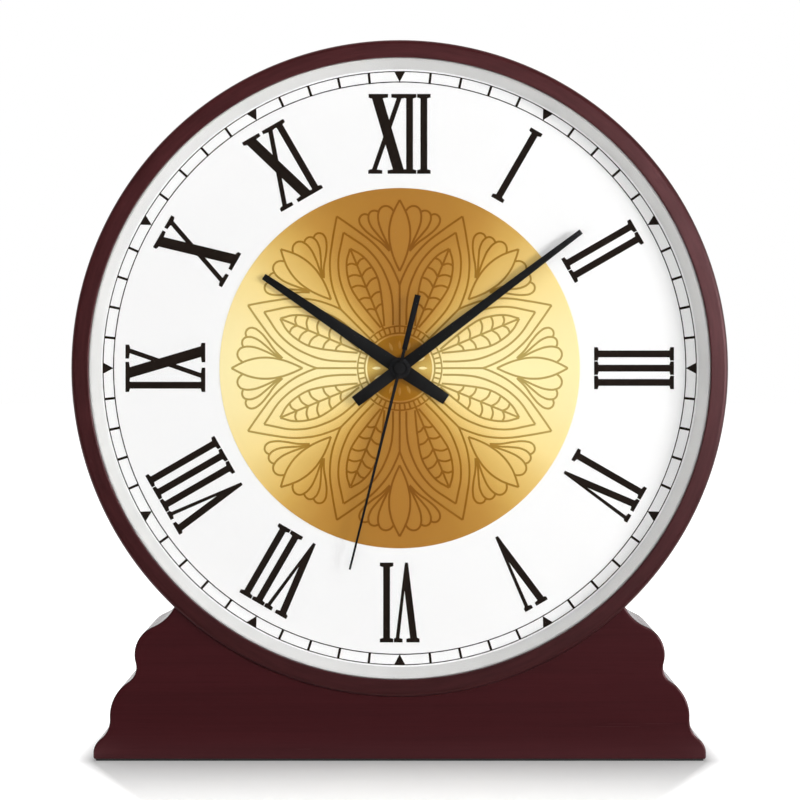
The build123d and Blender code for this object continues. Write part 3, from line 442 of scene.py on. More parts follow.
@dataclass(frozen=True)
class Wood(Finish):
    """Wood with grain, lacquered or raw."""

    dark: Colour
    light: Colour
    grain: Grain = Grain.ALONG_BOARD
    length: float = 9.0
    fineness: float = 190.0
    band: float = 1.0
    pores: float = 0.5
    roughness: float = 0.36
    shine: float = 0.40
    relief: float = 0.00001
    gloss_tint: Colour = (1.0, 0.6, 0.64, 1.0)
    ring_radius: float = 0.15
    # Painted shade: share by which the ring's colour darkens towards its bottom, where less light falls
    ring_bottom_painted_shade: float = 0.17

    def surface(self, graph: Graph, place: Socket) -> Socket:
        """Build wood whose grain follows the piece.

        Args:
            graph: The material's graph.
            place: Place on the piece.

        Returns:
            The shader.
        """
        vector, offset, painted_shade_factor = self._grain_place(graph, place)
        wood = graph.effect(
            Effect.WOOD_GRAIN, vector, Offset=offset, Dark=self.dark, Light=self.light, Band=self.band,
            Pores=self.pores,
        )
        inputs = {
            # Painted shade: the grain colour is mixed towards black by the shade factor
            "Base Color": graph.mix(painted_shade_factor, BLACK, wood["Color"]),
            "Roughness": graph.math("ADD", wood["Roughness"], self.roughness),
            "Specular IOR Level": self.shine,
            "Specular Tint": self.gloss_tint,
        }
        return self.skin(graph, wood["Height"], self.relief, inputs)

    def _grain_place(self, graph: Graph, place: Socket) -> tuple[Socket, Socket, object]:
        """Turn and stretch the place so that the grain runs along its first axis.

        Args:
            graph: The material's graph.
            place: Place on the piece.

        Returns:
            The place for the grain, its offset and how much of the colour shows there.
        """
        spot = graph.parts(place)
        if self.grain is Grain.ROUND_RING:
            flat = graph.from_dial(place)
            turn = graph.parts(graph.vector("NORMALIZE", flat)[0])
            reach = self.ring_radius * self.length
            along = {axis: graph.math("MULTIPLY", turn[axis], reach) for axis in (0, 2)}
            spread = graph.math("MULTIPLY", graph.vector("LENGTH", flat)["Value"], self.fineness)
            # Painted shade: full colour at the ring's top, about two thirds of it at its bottom
            painted_shade_factor = graph.level(turn[2], gain=self.ring_bottom_painted_shade, shift=1 - self.ring_bottom_painted_shade)
            offset = graph.math("MULTIPLY", spot[1], self.fineness)
            return graph.add("CombineXYZ", {**along, 1: spread})[0], offset, painted_shade_factor
        order = (0, 1, 2) if self.grain is Grain.ALONG_BOARD else (2, 1, 0)
        scales = (self.length, self.fineness, self.fineness)
        values = [graph.math("MULTIPLY", spot[axis], scale) for axis, scale in zip(order, scales)]
        vector = graph.add("CombineXYZ", dict(enumerate(values)))[0]
        return vector, graph.math("MULTIPLY", spot[1], 2.0), 1.0


@dataclass(frozen=True)
class Coating(Finish):
    """Paint, print, plastic, rubber or another covering with a cloudy surface."""

    base: Colour
    other: Colour
    roughness: float = 0.5
    spread: float = 0.12
    cloud: float = 40.0
    grain: float = 2500.0
    relief: float = 0.00001
    shine: float = 0.5
    coat: float = 0.0
    sheen: float = 0.0
    metallic: float = 0.0

    def surface(self, graph: Graph, place: Socket) -> Socket:
        """Build the covering.

        Args:
            graph: The material's graph.
            place: Place on the piece.

        Returns:
            The shader.
        """
        mottle = graph.effect(
            Effect.MOTTLE, place, Base=self.base, Other=self.other, Cloud=self.cloud, Grain=self.grain,
            Roughness=self.roughness, Spread=self.spread,
        )
        inputs = {
            "Base Color": mottle["Color"],
            "Roughness": mottle["Roughness"],
            "Metallic": self.metallic,
            "Specular IOR Level": self.shine,
            "Coat Weight": self.coat,
            "Coat Roughness": 0.1,
            "Sheen Weight": self.sheen,
        }
        return self.skin(graph, mottle["Height"], self.relief, inputs)


@dataclass(frozen=True)
class Metal(Finish):
    """Bare or plated metal with fine working lines."""

    base: Colour
    other: Colour
    roughness: float = 0.3
    stretch: tuple[float, float, float] = (300.0, 3000.0, 300.0)
    relief: float = 0.000006

    def surface(self, graph: Graph, place: Socket) -> Socket:
        """Build the metal.

        Args:
            graph: The material's graph.
            place: Place on the piece.

        Returns:
            The shader.
        """
        lines = graph.effect(
            Effect.BRUSH_LINES, place, Stretch=self.stretch, Base=self.base, Other=self.other,
            Roughness=self.roughness,
        )
        inputs = {"Base Color": lines["Color"], "Roughness": lines["Roughness"], "Metallic": 1.0}
        return self.skin(graph, lines["Height"], self.relief, inputs)


FIELD_GOLD = (
    (0.0, tone(255, 240, 178)),
    (0.26, tone(254, 235, 171)),
    (0.50, tone(250, 224, 150)),
    (0.64, tone(234, 199, 118)),
    (0.77, tone(212, 168, 84)),
    (0.87, tone(190, 140, 61)),
    (0.94, tone(178, 127, 50)),
    (1.0, tone(173, 120, 46)),
)
LINE_GOLD = (
    (0.0, tone(184, 160, 88)),
    (0.34, tone(184, 156, 82)),
    (0.50, tone(179, 147, 68)),
    (0.64, tone(169, 129, 48)),
    (0.77, tone(156, 110, 29)),
    (0.87, tone(146, 95, 16)),
    (1.0, tone(132, 80, 10)),
)
CENTRE_GOLD = (
    (0.0, tone(216, 182, 96)),
    (0.40, tone(198, 156, 70)),
    (0.75, tone(166, 114, 26)),
    (1.0, tone(155, 101, 13)),
)


@dataclass(frozen=True)
class Gilt(Finish):
    """Gold print that sweeps from pale at the sides to deep at the top and the bottom of the dial."""

    stops: tuple[tuple[float, Colour], ...] = FIELD_GOLD
    cloud: float = 0.05
    shine: float = 0.08
    relief: float = 0.000004

    def surface(self, graph: Graph, place: Socket) -> Socket:
        """Build the gold print.

        Args:
            graph: The material's graph.
            place: Place on the piece.

        Returns:
            The shader.
        """
        sweep = graph.effect(Effect.GILT_SWEEP, place, Cloud=self.cloud)
        inputs = {
            "Base Color": graph.ramp(sweep["Sweep"], self.stops),
            "Roughness": sweep["Roughness"],
            "Specular IOR Level": self.shine,
        }
        return self.skin(graph, sweep["Height"], self.relief, inputs)


@dataclass(frozen=True)
class ClearGlass(Finish):
    """Clear flat glass that lets the lamps through to the dial."""

    smear: float = 0.012

    def surface(self, graph: Graph, place: Socket) -> Socket:
        """Build glass that casts no dark shadow.

        Args:
            graph: The material's graph.
            place: Place on the piece.

        Returns:
            The shader.
        """
        glass = graph.add(
            "BsdfPrincipled",
            {
                "Base Color": WHITE,
                "Roughness": graph.math("MULTIPLY", graph.noise(place, scale=12.0), self.smear),
                "Transmission Weight": 1.0,
                "IOR": 1.5,
                "Specular IOR Level": 0.5,
            },
        )[0]
        clear = graph.add("BsdfTransparent", {"Color": WHITE})[0]
        path = graph.add("LightPath", {})
        lets_through = graph.most(path["Is Shadow Ray"], path["Is Diffuse Ray"])
        return graph.add("MixShader", {0: lets_through, 1: glass, 2: clear})[0]


@dataclass(frozen=True)
class CellWrap(Finish):
    """Plain shrink wrap round a cell: a coloured body, a paler band at its tip end and bare steel ends."""

    body: Colour
    band: Colour
    steel: Colour
    tip_end: float
    band_end: float
    flat_end: float
    shade: float = 0.8
    relief: float = 0.000004

    def surface(self, graph: Graph, place: Socket) -> Socket:
        """Build the wrapped cell, banded along X.

        Args:
            graph: The material's graph.
            place: Place on the piece.

        Returns:
            The shader.
        """
        wobble = graph.level(graph.noise(place, scale=300.0, detail=1.0), gain=0.0002, shift=-0.0001)
        spot = graph.math("ADD", graph.parts(place)[0], wobble)
        is_tip = graph.math("LESS_THAN", spot, self.tip_end)
        is_band = graph.math("LESS_THAN", spot, self.band_end)
        is_flat = graph.math("GREATER_THAN", spot, self.flat_end)
        bare = graph.most(is_tip, is_flat)
        shaded = (*(self.shade * part for part in self.body[:3]), 1.0)
        mottle = graph.effect(
            Effect.MOTTLE, place, Base=self.body, Other=shaded, Cloud=120.0, Grain=1800.0, Roughness=0.3,
            Spread=0.1,
        )
        wrapped = graph.mix(is_band, mottle["Color"], self.band)
        inputs = {
            "Base Color": graph.mix(bare, wrapped, self.steel),
            "Metallic": bare,
            "Roughness": mottle["Roughness"],
        }
        return self.skin(graph, mottle["Height"], self.relief, inputs)


@dataclass(frozen=True)
class Winding(Finish):
    """Fine enamelled wire laid turn by turn round an axis along X."""

    base: Colour
    other: Colour
    turns_per_metre: float = 2600.0
    relief: float = 0.00005

    def surface(self, graph: Graph, place: Socket) -> Socket:
        """Build the winding, with a groove between turns that is bumped and given a darker colour as painted
        shade.

        Args:
            graph: The material's graph.
            place: Place on the piece.

        Returns:
            The shader.
        """
        angle = graph.math("MULTIPLY", graph.parts(place)[0], 2 * pi * self.turns_per_metre)
        height = graph.level(graph.math("SINE", angle), gain=0.5, shift=0.5)
        # Painted shade: the grooves between turns take the darker colour
        colour = graph.mix(height, self.other, self.base)
        inputs = {"Base Color": colour, "Roughness": 0.28, "Metallic": 0.85}
        return self.skin(graph, height, self.relief, inputs)


# Working with bpy.ops


class Pick(Enum):
    """Kind of element that is selected in edit mode."""

    VERTICES = "VERT"
    EDGES = "EDGE"


def deselect() -> None:
    """Leave edit mode if it is on, and deselect every object."""
    if bpy.context.object and bpy.context.object.mode != "OBJECT":
        bpy.ops.object.mode_set(mode="OBJECT")
    bpy.ops.object.select_all(action="DESELECT")


def only(obj: Piece) -> None:
    """Select one object alone and make it active.

    Args:
        obj: The object.
    """
    deselect()
    obj.select_set(True)
    bpy.context.view_layer.objects.active = obj


def latest(name: str) -> Piece:
    """Name the active object, which was added last.

    Args:
        name: Its name.

    Returns:
        The object.
    """
    obj = bpy.context.view_layer.objects.active
    obj.name = name
    return obj


def settle(obj: Piece) -> Piece:
    """Put an object's place, turn and size into its mesh.

    Args:
        obj: The object.

    Returns:
        The object.
    """
    only(obj)
    bpy.ops.object.transform_apply(location=True, rotation=True, scale=True)
    return obj


def open_all(obj: Piece) -> None:
    """Open an object in edit mode with all of it selected.

    Args:
        obj: The object.
    """
    only(obj)
    bpy.ops.object.mode_set(mode="EDIT")
    bpy.ops.mesh.select_all(action="SELECT")


def pick(obj: Piece, kind: Pick, test: Callable[[Vector], bool]) -> None:
    """Open an object in edit mode with the elements selected whose middle passes a test.

    Args:
        obj: The object, whose place is in its mesh.
        kind: Vertices or edges.
        test: Takes an element's middle.
    """
    open_all(obj)
    bpy.ops.mesh.select_mode(type=kind.value)
    bpy.ops.mesh.select_all(action="DESELECT")
    bpy.ops.object.mode_set(mode="OBJECT")
    vertices = obj.data.vertices
    if kind is Pick.VERTICES:
        for vertex in vertices:
            vertex.select = test(vertex.co)
    else:
        for edge in obj.data.edges:
            start, end = (vertices[index].co for index in edge.vertices)
            edge.select = test((start + end) / 2)
    bpy.ops.object.mode_set(mode="EDIT")


def outward(obj: Piece) -> Piece:
    """Merge an object's doubles and turn its faces outwards.

    Args:
        obj: The object.

    Returns:
        The object.
    """
    open_all(obj)
    bpy.ops.mesh.remove_doubles(threshold=MERGE)
    bpy.ops.mesh.normals_make_consistent(inside=False)
    bpy.ops.object.mode_set(mode="OBJECT")
    return obj


def smooth(obj: Piece, degrees: float = 35.0) -> Piece:
    """Shade an object smooth up to an angle.

    Args:
        obj: The object.
        degrees: Angle from which an edge stays sharp.

    Returns:
        The object.
    """
    only(obj)
    bpy.ops.object.shade_smooth_by_angle(angle=radians(degrees))
    return obj


def join(objects: Sequence[Piece], name: str) -> Piece:
    """Join objects into one mesh.

    Args:
        objects: The objects, of which the first one takes the others.
        name: Name of the joined object.

    Returns:
        The joined object.
    """
    deselect()
    for obj in objects:
        obj.select_set(True)
    bpy.context.view_layer.objects.active = objects[0]
    bpy.ops.object.join()
    return latest(name)


def twin(obj: Piece, matrix: Matrix) -> Piece:
    """Copy an object with its own mesh and move the copy.

    Args:
        obj: The object.
        matrix: How the copy moves.

    Returns:
        The copy.
    """
    only(obj)
    bpy.ops.object.duplicate(linked=False)
    copy = bpy.context.view_layer.objects.active
    copy.matrix_world = matrix @ copy.matrix_world
    return settle(copy)


def reshape(obj: Piece, kind: str, **settings: object) -> Piece:
    """Apply one modifier to an object.

    Args:
        obj: The object.
        kind: Type of the modifier.
        **settings: Its options.

    Returns:
        The object.
    """
    only(obj)
    modifier = obj.modifiers.new(kind.lower(), kind)
    for option, value in settings.items():
        setattr(modifier, option, value)
    bpy.ops.object.modifier_apply(modifier=modifier.name)
    return obj


def drill(obj: Piece, start: Vector, end: Vector, radius: float) -> Piece:
    """Cut a round hole into an object.

    Args:
        obj: The object, whose place is in its mesh.
        start: Middle of the hole's first end, in metres.
        end: Middle of its other end, in metres.
        radius: Radius of the hole in millimetres.

    Returns:
        The object with the hole.
    """
    deselect()
    bpy.ops.mesh.primitive_cylinder_add(
        vertices=48,
        radius=radius * MM,
        depth=(end - start).length,
        location=(start + end) / 2,
        rotation=(end - start).to_track_quat("Z", "Y").to_euler(),
    )
    cutter = settle(latest("hole_cutter"))
    reshape(obj, "BOOLEAN", operation="DIFFERENCE", solver="EXACT", object=cutter)
    bpy.data.objects.remove(cutter)
    return obj


def place_at(depth: float, x: float = 0.0, z: float = 0.0) -> Vector:
    """Return a point in metres, from millimetres behind the front and from the dial's centre."""
    return Vector((x * MM, FRONT + depth * MM, DIAL_HEIGHT + z * MM))


def dial_turn(degrees: float) -> Matrix:
    """Turn about the dial's axis.

    Args:
        degrees: Clockwise angle, seen from the front.

    Returns:
        The turn.
    """
    centre = place_at(0.0)
    turn = Matrix.Rotation(radians(degrees), 4, "Y")
    return Matrix.Translation(centre) @ turn @ Matrix.Translation(-centre)


def round_dial(obj: Piece, count: int) -> list[Piece]:
    """Return an object and its copies, evenly spread round the dial."""
    return [obj, *(twin(obj, dial_turn(360 / count * turn)) for turn in range(1, count))]


def slab(name: str, size: Sequence[float], middle: Vector) -> Piece:
    """Add a cube primitive at its size and place.

    Args:
        name: The object's name.
        size: Width along X, along Y and along Z, in millimetres.
        middle: Its middle, in metres.

    Returns:
        The block, with its place in its mesh.
    """
    deselect()
    bpy.ops.mesh.primitive_cube_add(size=1.0, location=middle, scale=[part * MM for part in size])
    return settle(latest(name))


def turned(name: str, stations: Sequence[Point], segments: int = 128) -> Piece:
    """Turn a ring about the dial's axis, from a circle that is extruded station by station.

    Args:
        name: The object's name.
        stations: Radius and depth along the closed profile, in millimetres. The last one is the first again.
        segments: Number of segments round the axis.

    Returns:
        The ring, with its place in its mesh.
    """
    deselect()
    radius, depth = stations[0]
    bpy.ops.mesh.primitive_circle_add(
        vertices=segments,
        radius=radius * MM,
        fill_type="NOTHING",
        location=place_at(depth),
        rotation=(pi / 2, 0.0, 0.0),
    )
    piece = settle(latest(name))
    open_all(piece)
    for next_radius, next_depth in stations[1:]:
        step = (next_depth - depth) * MM
        bpy.ops.mesh.extrude_edges_move(TRANSFORM_OT_translate={"value": (0.0, step, 0.0)})
        share = next_radius / radius
        bpy.ops.transform.resize(value=(share, 1.0, share), center_override=place_at(next_depth))
        radius, depth = next_radius, next_depth
    return outward(piece)


def finish_piece(obj: Piece, material: bpy.types.Material, body: str) -> Piece:
    """Give a finished piece its material and attach it to its body.

    Args:
        obj: The piece.
        material: Its material.
        body: The body that it rides on.

    Returns:
        The piece.
    """
    obj.data.materials.clear()
    obj.data.materials.append(material)
    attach(obj, body)
    return obj


# Palette of finishes


def palette() -> dict[str, Finish]:
    """Set out the clock's finishes.

    Returns:
        Every finish, by the name of its record slot.
    """
    return {
        "ring_wood": Wood(
            "Lacquered ring wood", tone(44, 12, 13), tone(84, 38, 40), Grain.ROUND_RING, length=60.0,
            fineness=700.0, band=0.9, relief=0.00003,
        ),
        "base_wood": Wood(
            "Lacquered base wood", tone(50, 15, 18), tone(67, 25, 29), band=0.8, roughness=0.25,
        ),
        "block_wood": Wood(
            "Raw softwood", tone(168, 128, 84), tone(214, 178, 128), Grain.UPRIGHT, roughness=0.7,
        ),
        "fibreboard": Coating("Bare fibreboard", tone(150, 116, 80), tone(122, 90, 60), 0.85, grain=1600.0),
        "cover_board": Coating("Stained back board", tone(70, 44, 34), tone(50, 30, 24), 0.62, grain=1300.0),
        "felt": Coating("Black felt", tone(34, 36, 34), tone(22, 23, 22), 0.95, grain=3500.0, sheen=0.4),
        "lens_glass": ClearGlass("Clear glass"),
        "rehaut_white": Coating("White band", tone(240, 240, 239), tone(234, 234, 233), 0.5, shine=0.15),
        "dial_white": Coating(
            "White dial", tone(250, 250, 250), tone(249, 249, 249), 0.55, cloud=14.0, shine=0.1,
        ),
        "dial_ink": Coating("Black dial print", tone(30, 23, 18), tone(33, 25, 20), 0.6, shine=0.02),
        "gilt": Gilt("Gold print"),
        "hand_black": Coating("Black hand paint", tone(20, 20, 21), tone(24, 24, 25), 0.25, shine=0.2),
        "zinc_steel": Metal("Zinc plated steel", tone(196, 198, 202), tone(168, 170, 176), 0.32),
        "brass": Metal("Turned brass", tone(214, 180, 106), tone(184, 148, 80), 0.26),
        "rubber": Coating("Black rubber", tone(28, 28, 28), tone(36, 36, 35), 0.8),
        "case_black": Coating("Black moulded case", tone(30, 30, 32), tone(38, 38, 40), relief=0.00003),
        "wheel_white": Coating("White acetal", tone(236, 234, 226), tone(224, 222, 212), 0.32, coat=0.1),
        "wheel_brown": Coating("Brown acetal", tone(120, 70, 44), tone(104, 58, 36), 0.32, coat=0.1),
        "plate_grey": Coating("Grey moulded plate", tone(126, 128, 130), tone(112, 114, 116)),
        "magnet_grey": Coating("Sintered magnet", tone(62, 62, 64), tone(46, 46, 48), 0.55, metallic=0.4),
        "lamination": Metal("Rolled iron sheet", tone(170, 170, 172), tone(140, 140, 144), 0.4),
        "copper_wire": Winding("Copper winding", tone(206, 112, 62), tone(120, 54, 28)),
        "bobbin_plastic": Coating("Cream bobbin", tone(226, 222, 206), tone(214, 208, 190), 0.35),
        "circuit_green": Coating(
            "Circuit board", tone(28, 98, 52), tone(22, 80, 42), 0.3, coat=0.4, cloud=260.0,
        ),
        "resin_black": Coating("Potting resin", tone(18, 18, 19), tone(26, 26, 28), 0.16, coat=0.5),
        "crystal_can": Metal("Crystal can", tone(214, 214, 216), tone(196, 196, 198), 0.18),
        "contact_spring": Metal("Nickel strip", tone(206, 202, 190), tone(180, 176, 164), 0.28),
        "cell_wrap": CellWrap(
            "Wrapped cell",
            body=tone(38, 56, 78),
            band=tone(176, 150, 84),
            steel=tone(206, 206, 208),
            tip_end=-24.4 * MM,
            band_end=-11.5 * MM,
            flat_end=23.9 * MM,
        ),
        "knob_black": Coating("Black knob", tone(28, 28, 29), tone(36, 36, 37), 0.42),
    }


# The clock


@dataclass
class PlainNodes:
    """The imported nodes, which keep their shapes and take the finishes of their slots."""

    frame: dict[str, dict]

    def dress(self, finishes: dict[str, Finish]) -> None:
        """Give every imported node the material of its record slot.

        Args:
            finishes: Every finish by slot.
        """
        materials = {slot: finish.material() for slot, finish in finishes.items()}
        for part in self.frame["record"]["subparts"]:
            node = self.frame["nodes"][part["node"]]
            node.data.materials.clear()
            node.data.materials.append(materials[part["material_slot"]])
            LOG.info("dressed %s", part["node"])


@dataclass
class Rosette:
    """Printed gold rosette of eight palmettes between eight leaves, drawn as low ridges on the medallion.

    Depths, rises, the line, the ridge, the disc's hole and its edge are in millimetres. Every other size is
    in the rosette's own unit, whose length in millimetres is given.
    """

    depth: float = 13.7
    unit: float = 0.4627
    line: float = 0.95
    ridge: float = 0.05
    sectors: int = 8
    bead_count: int = 48
    bead_rings: tuple[Point, ...] = ((41.2, 42.8), (34.2, 35.9))
    bead_bar: Point = (1.8, 5.8)
    bead_radius: float = 38.6
    disc_radius: float = 33.0
    disc_hole: float = 4.15
    disc_rise: float = 0.12
    disc_crown: Point = (0.55, 0.10)
    disc_edge: float = 0.4
    circle: Point = (33.0, 34.0)
    drop_count: int = 16
    drop_size: Point = (1.45, 4.4)
    drop_rise: float = 0.16
    drop_lift: float = 0.1
    drop_radius: float = 23.2
    drop_neck: float = 24.0
    drop_taper: float = 0.6

    # Strokes of half a sector, from the palmette's axis to the leaf's axis: sideways and outwards
    petal: tuple[Point, ...] = (
        (0, 168), (5, 158.5), (8.6, 149), (10.6, 134), (8.6, 119), (4.6, 107), (0, 97),
    )
    first_lobe: tuple[Point, ...] = (
        (6.3, 157.3), (9.5, 160.6), (14, 162), (18.6, 160.2), (21, 156), (21.2, 147), (18.5, 138),
        (13.5, 127), (9.2, 118),
    )
    second_lobe: tuple[Point, ...] = (
        (21.2, 156.3), (25.2, 157.4), (29.4, 155.8), (31.2, 151.5), (29.4, 143.5), (22.5, 134),
        (15, 125.5), (9.6, 118),
    )
    third_lobe: tuple[Point, ...] = (
        (31.2, 153), (35.4, 153.8), (39.4, 151.2), (40.2, 146.4), (36.6, 140), (28.5, 132.6), (18, 125),
        (10, 117),
    )
    outer_leaf: tuple[Point, ...] = (
        (62.8, 151.6), (50.6, 143.3), (40.6, 136.1), (28.6, 126.9), (19.1, 117.3), (10.6, 106),
        (4.9, 95.2), (1.2, 86.5), (0, 83),
    )
    middle_leaf: tuple[Point, ...] = (
        (56.1, 135.4), (46.3, 129), (36.3, 122.3), (27.7, 114.2), (20.6, 105), (14.1, 92.6), (9.1, 78.3),
        (7.1, 64), (6.6, 43),
    )
    inner_leaf: tuple[Point, ...] = (
        (49.3, 119.4), (44.8, 116.9), (40.4, 114.5), (34.6, 109.6), (28.4, 102), (22.7, 91.9),
        (19.7, 81.1), (18, 69.7), (16.4, 55.4), (15.3, 42),
    )
    stem: tuple[Point, ...] = ((0, 84), (0, 63), (0, 42.5))
    vein: tuple[Point, ...] = ((16.1, 38.8), (30, 72.4), (48.8, 117.8))
    side_veins: tuple[tuple[Point, ...], ...] = (
        ((24.1, 58.3), (20.8, 62.8), (16.8, 64.3)),
        ((29, 69.8), (24.4, 74.8), (18.8, 76.8)),
        ((33.6, 80.7), (28.6, 88), (22.2, 91)),
        ((38, 91.4), (33.8, 97.8), (27.7, 101)),
        ((42.6, 102.6), (39.8, 107.8), (34.8, 110.2)),
    )

    def build(self, finishes: dict[str, Finish]) -> list[Piece]:
        """Build and dress the rosette's lines and its middle.

        Args:
            finishes: Every finish by slot.

        Returns:
            The finished pieces.
        """
        gilt = finishes["gilt"]
        deep = replace(gilt, name="Gold line print", stops=LINE_GOLD).material()
        middle = replace(gilt, name="Gold centre print", stops=CENTRE_GOLD).material()
        pale = replace(gilt, name="Gold highlight print").material()
        return [
            finish_piece(self._lines(), deep, "case"),
            finish_piece(self._bead_ring(), deep, "case"),
            finish_piece(self._centre_disc(), middle, "case"),
            finish_piece(self._highlights(), pale, "case"),
        ]

    def _stroke(self, points: Iterable[Point]) -> Piece:
        """Lay one printed line through points of the half sector.

        Args:
            points: Sideways and outwards, in the rosette's own unit.

        Returns:
            The line as a low closed ridge, at the palmette that points up.
        """
        spots = [Vector((x * self.unit, z * self.unit, 0.0)) for x, z in points]
        deselect()
        bpy.ops.curve.primitive_bezier_curve_add(radius=1.0)
        curve = latest("rosette_stroke").data
        spline = curve.splines[0]
        spline.bezier_points.add(len(spots) - 2)
        for knot, spot in zip(spline.bezier_points, spots):
            knot.co = spot
            knot.handle_left_type = knot.handle_right_type = "AUTO"
        curve.bevel_depth = self.line / 2
        curve.bevel_resolution = 1
        curve.resolution_u = 4
        curve.use_fill_caps = True
        bpy.ops.object.convert(target="MESH")
        line = bpy.context.view_layer.objects.active
        line.scale = (MM, MM, MM * self.ridge / curve.bevel_depth)
        line.rotation_euler = (pi / 2, 0.0, 0.0)
        line.location = place_at(self.depth)
        return settle(line)

    def _lines(self) -> Piece:
        """Model half a sector once, mirror it and copy it round the dial.

        Returns:
            All lines as one piece.
        """
        strokes = [
            self.petal, self.first_lobe, self.second_lobe, self.third_lobe, self.outer_leaf,
            self.middle_leaf, self.inner_leaf, self.stem, self.vein, *self.side_veins,
        ]
        half = join([self._stroke(points) for points in strokes], "rosette_half")
        other = twin(half, Matrix.Diagonal((-1.0, 1.0, 1.0, 1.0)))
        sector = join([half, other], "rosette_sector")
        rosette = join(round_dial(sector, self.sectors), "rosette_lines")
        return smooth(outward(rosette), degrees=60.0)

    def _band_ring(self, name: str, radii: Point) -> Piece:
        """Turn a flat ring that stands proud of the medallion.

        Args:
            name: The object's name.
            radii: Its inner and its outer radius, in the rosette's own unit.

        Returns:
            The ring.
        """
        inner, outer = (radius * self.unit for radius in radii)
        front, back = self.depth - self.ridge, self.depth + self.ridge
        return turned(name, [(inner, back), (inner, front), (outer, front), (outer, back), (inner, back)])

    def _bead_ring(self) -> Piece:
        """Lay two circles with short bars between them round the middle.

        Returns:
            Circles and bars as one piece.
        """
        outer, inner = self.bead_rings
        rings = [self._band_ring("bead_ring_outer", outer), self._band_ring("bead_ring_inner", inner)]
        width, length = (part * self.unit for part in self.bead_bar)
        middle = place_at(self.depth, 0.0, self.bead_radius * self.unit)
        bar = slab("bead_bar", (width, 2 * self.ridge, length), middle)
        return smooth(join([*rings, *round_dial(bar, self.bead_count)], "bead_ring"))

    def _centre_disc(self) -> Piece:
        """Turn the slightly domed disc in the middle, with a hole for the bushing.

        Returns:
            The disc.
        """
        outer = self.disc_radius * self.unit
        front, back = self.depth - self.ridge, self.depth + self.ridge
        crown_share, crown_rise = self.disc_crown
        stations = [
            (self.disc_hole, back),
            (self.disc_hole, front - self.disc_rise),
            (outer * crown_share, front - crown_rise),
            (outer - self.disc_edge, front),
            (outer, back),
            (self.disc_hole, back),
        ]
        return smooth(turned("rosette_centre", stations, segments=96), degrees=30.0)

    def _highlights(self) -> Piece:
        """Lay a thin bright circle round the middle and a ring of bright drops inside it.

        Returns:
            Circle and drops as one piece.
        """
        u = self.unit
        circle = self._band_ring("centre_circle", self.circle)
        deselect()
        bpy.ops.mesh.primitive_uv_sphere_add(segments=16, ring_count=8, radius=1.0)
        drop = latest("centre_drop")
        width, length = (part * u * MM for part in self.drop_size)
        drop.scale = (width, self.drop_rise * MM, length)
        drop.location = place_at(self.depth - self.drop_lift, 0.0, self.drop_radius * u)
        settle(drop)
        neck = place_at(self.depth, 0.0, self.drop_neck * u)
        pick(drop, Pick.VERTICES, lambda spot: spot.z > neck.z + u * MM)
        bpy.ops.transform.resize(value=(self.drop_taper, 1.0, 1.0), center_override=neck)
        return smooth(join([circle, *round_dial(drop, self.drop_count)], "rosette_highlights"))


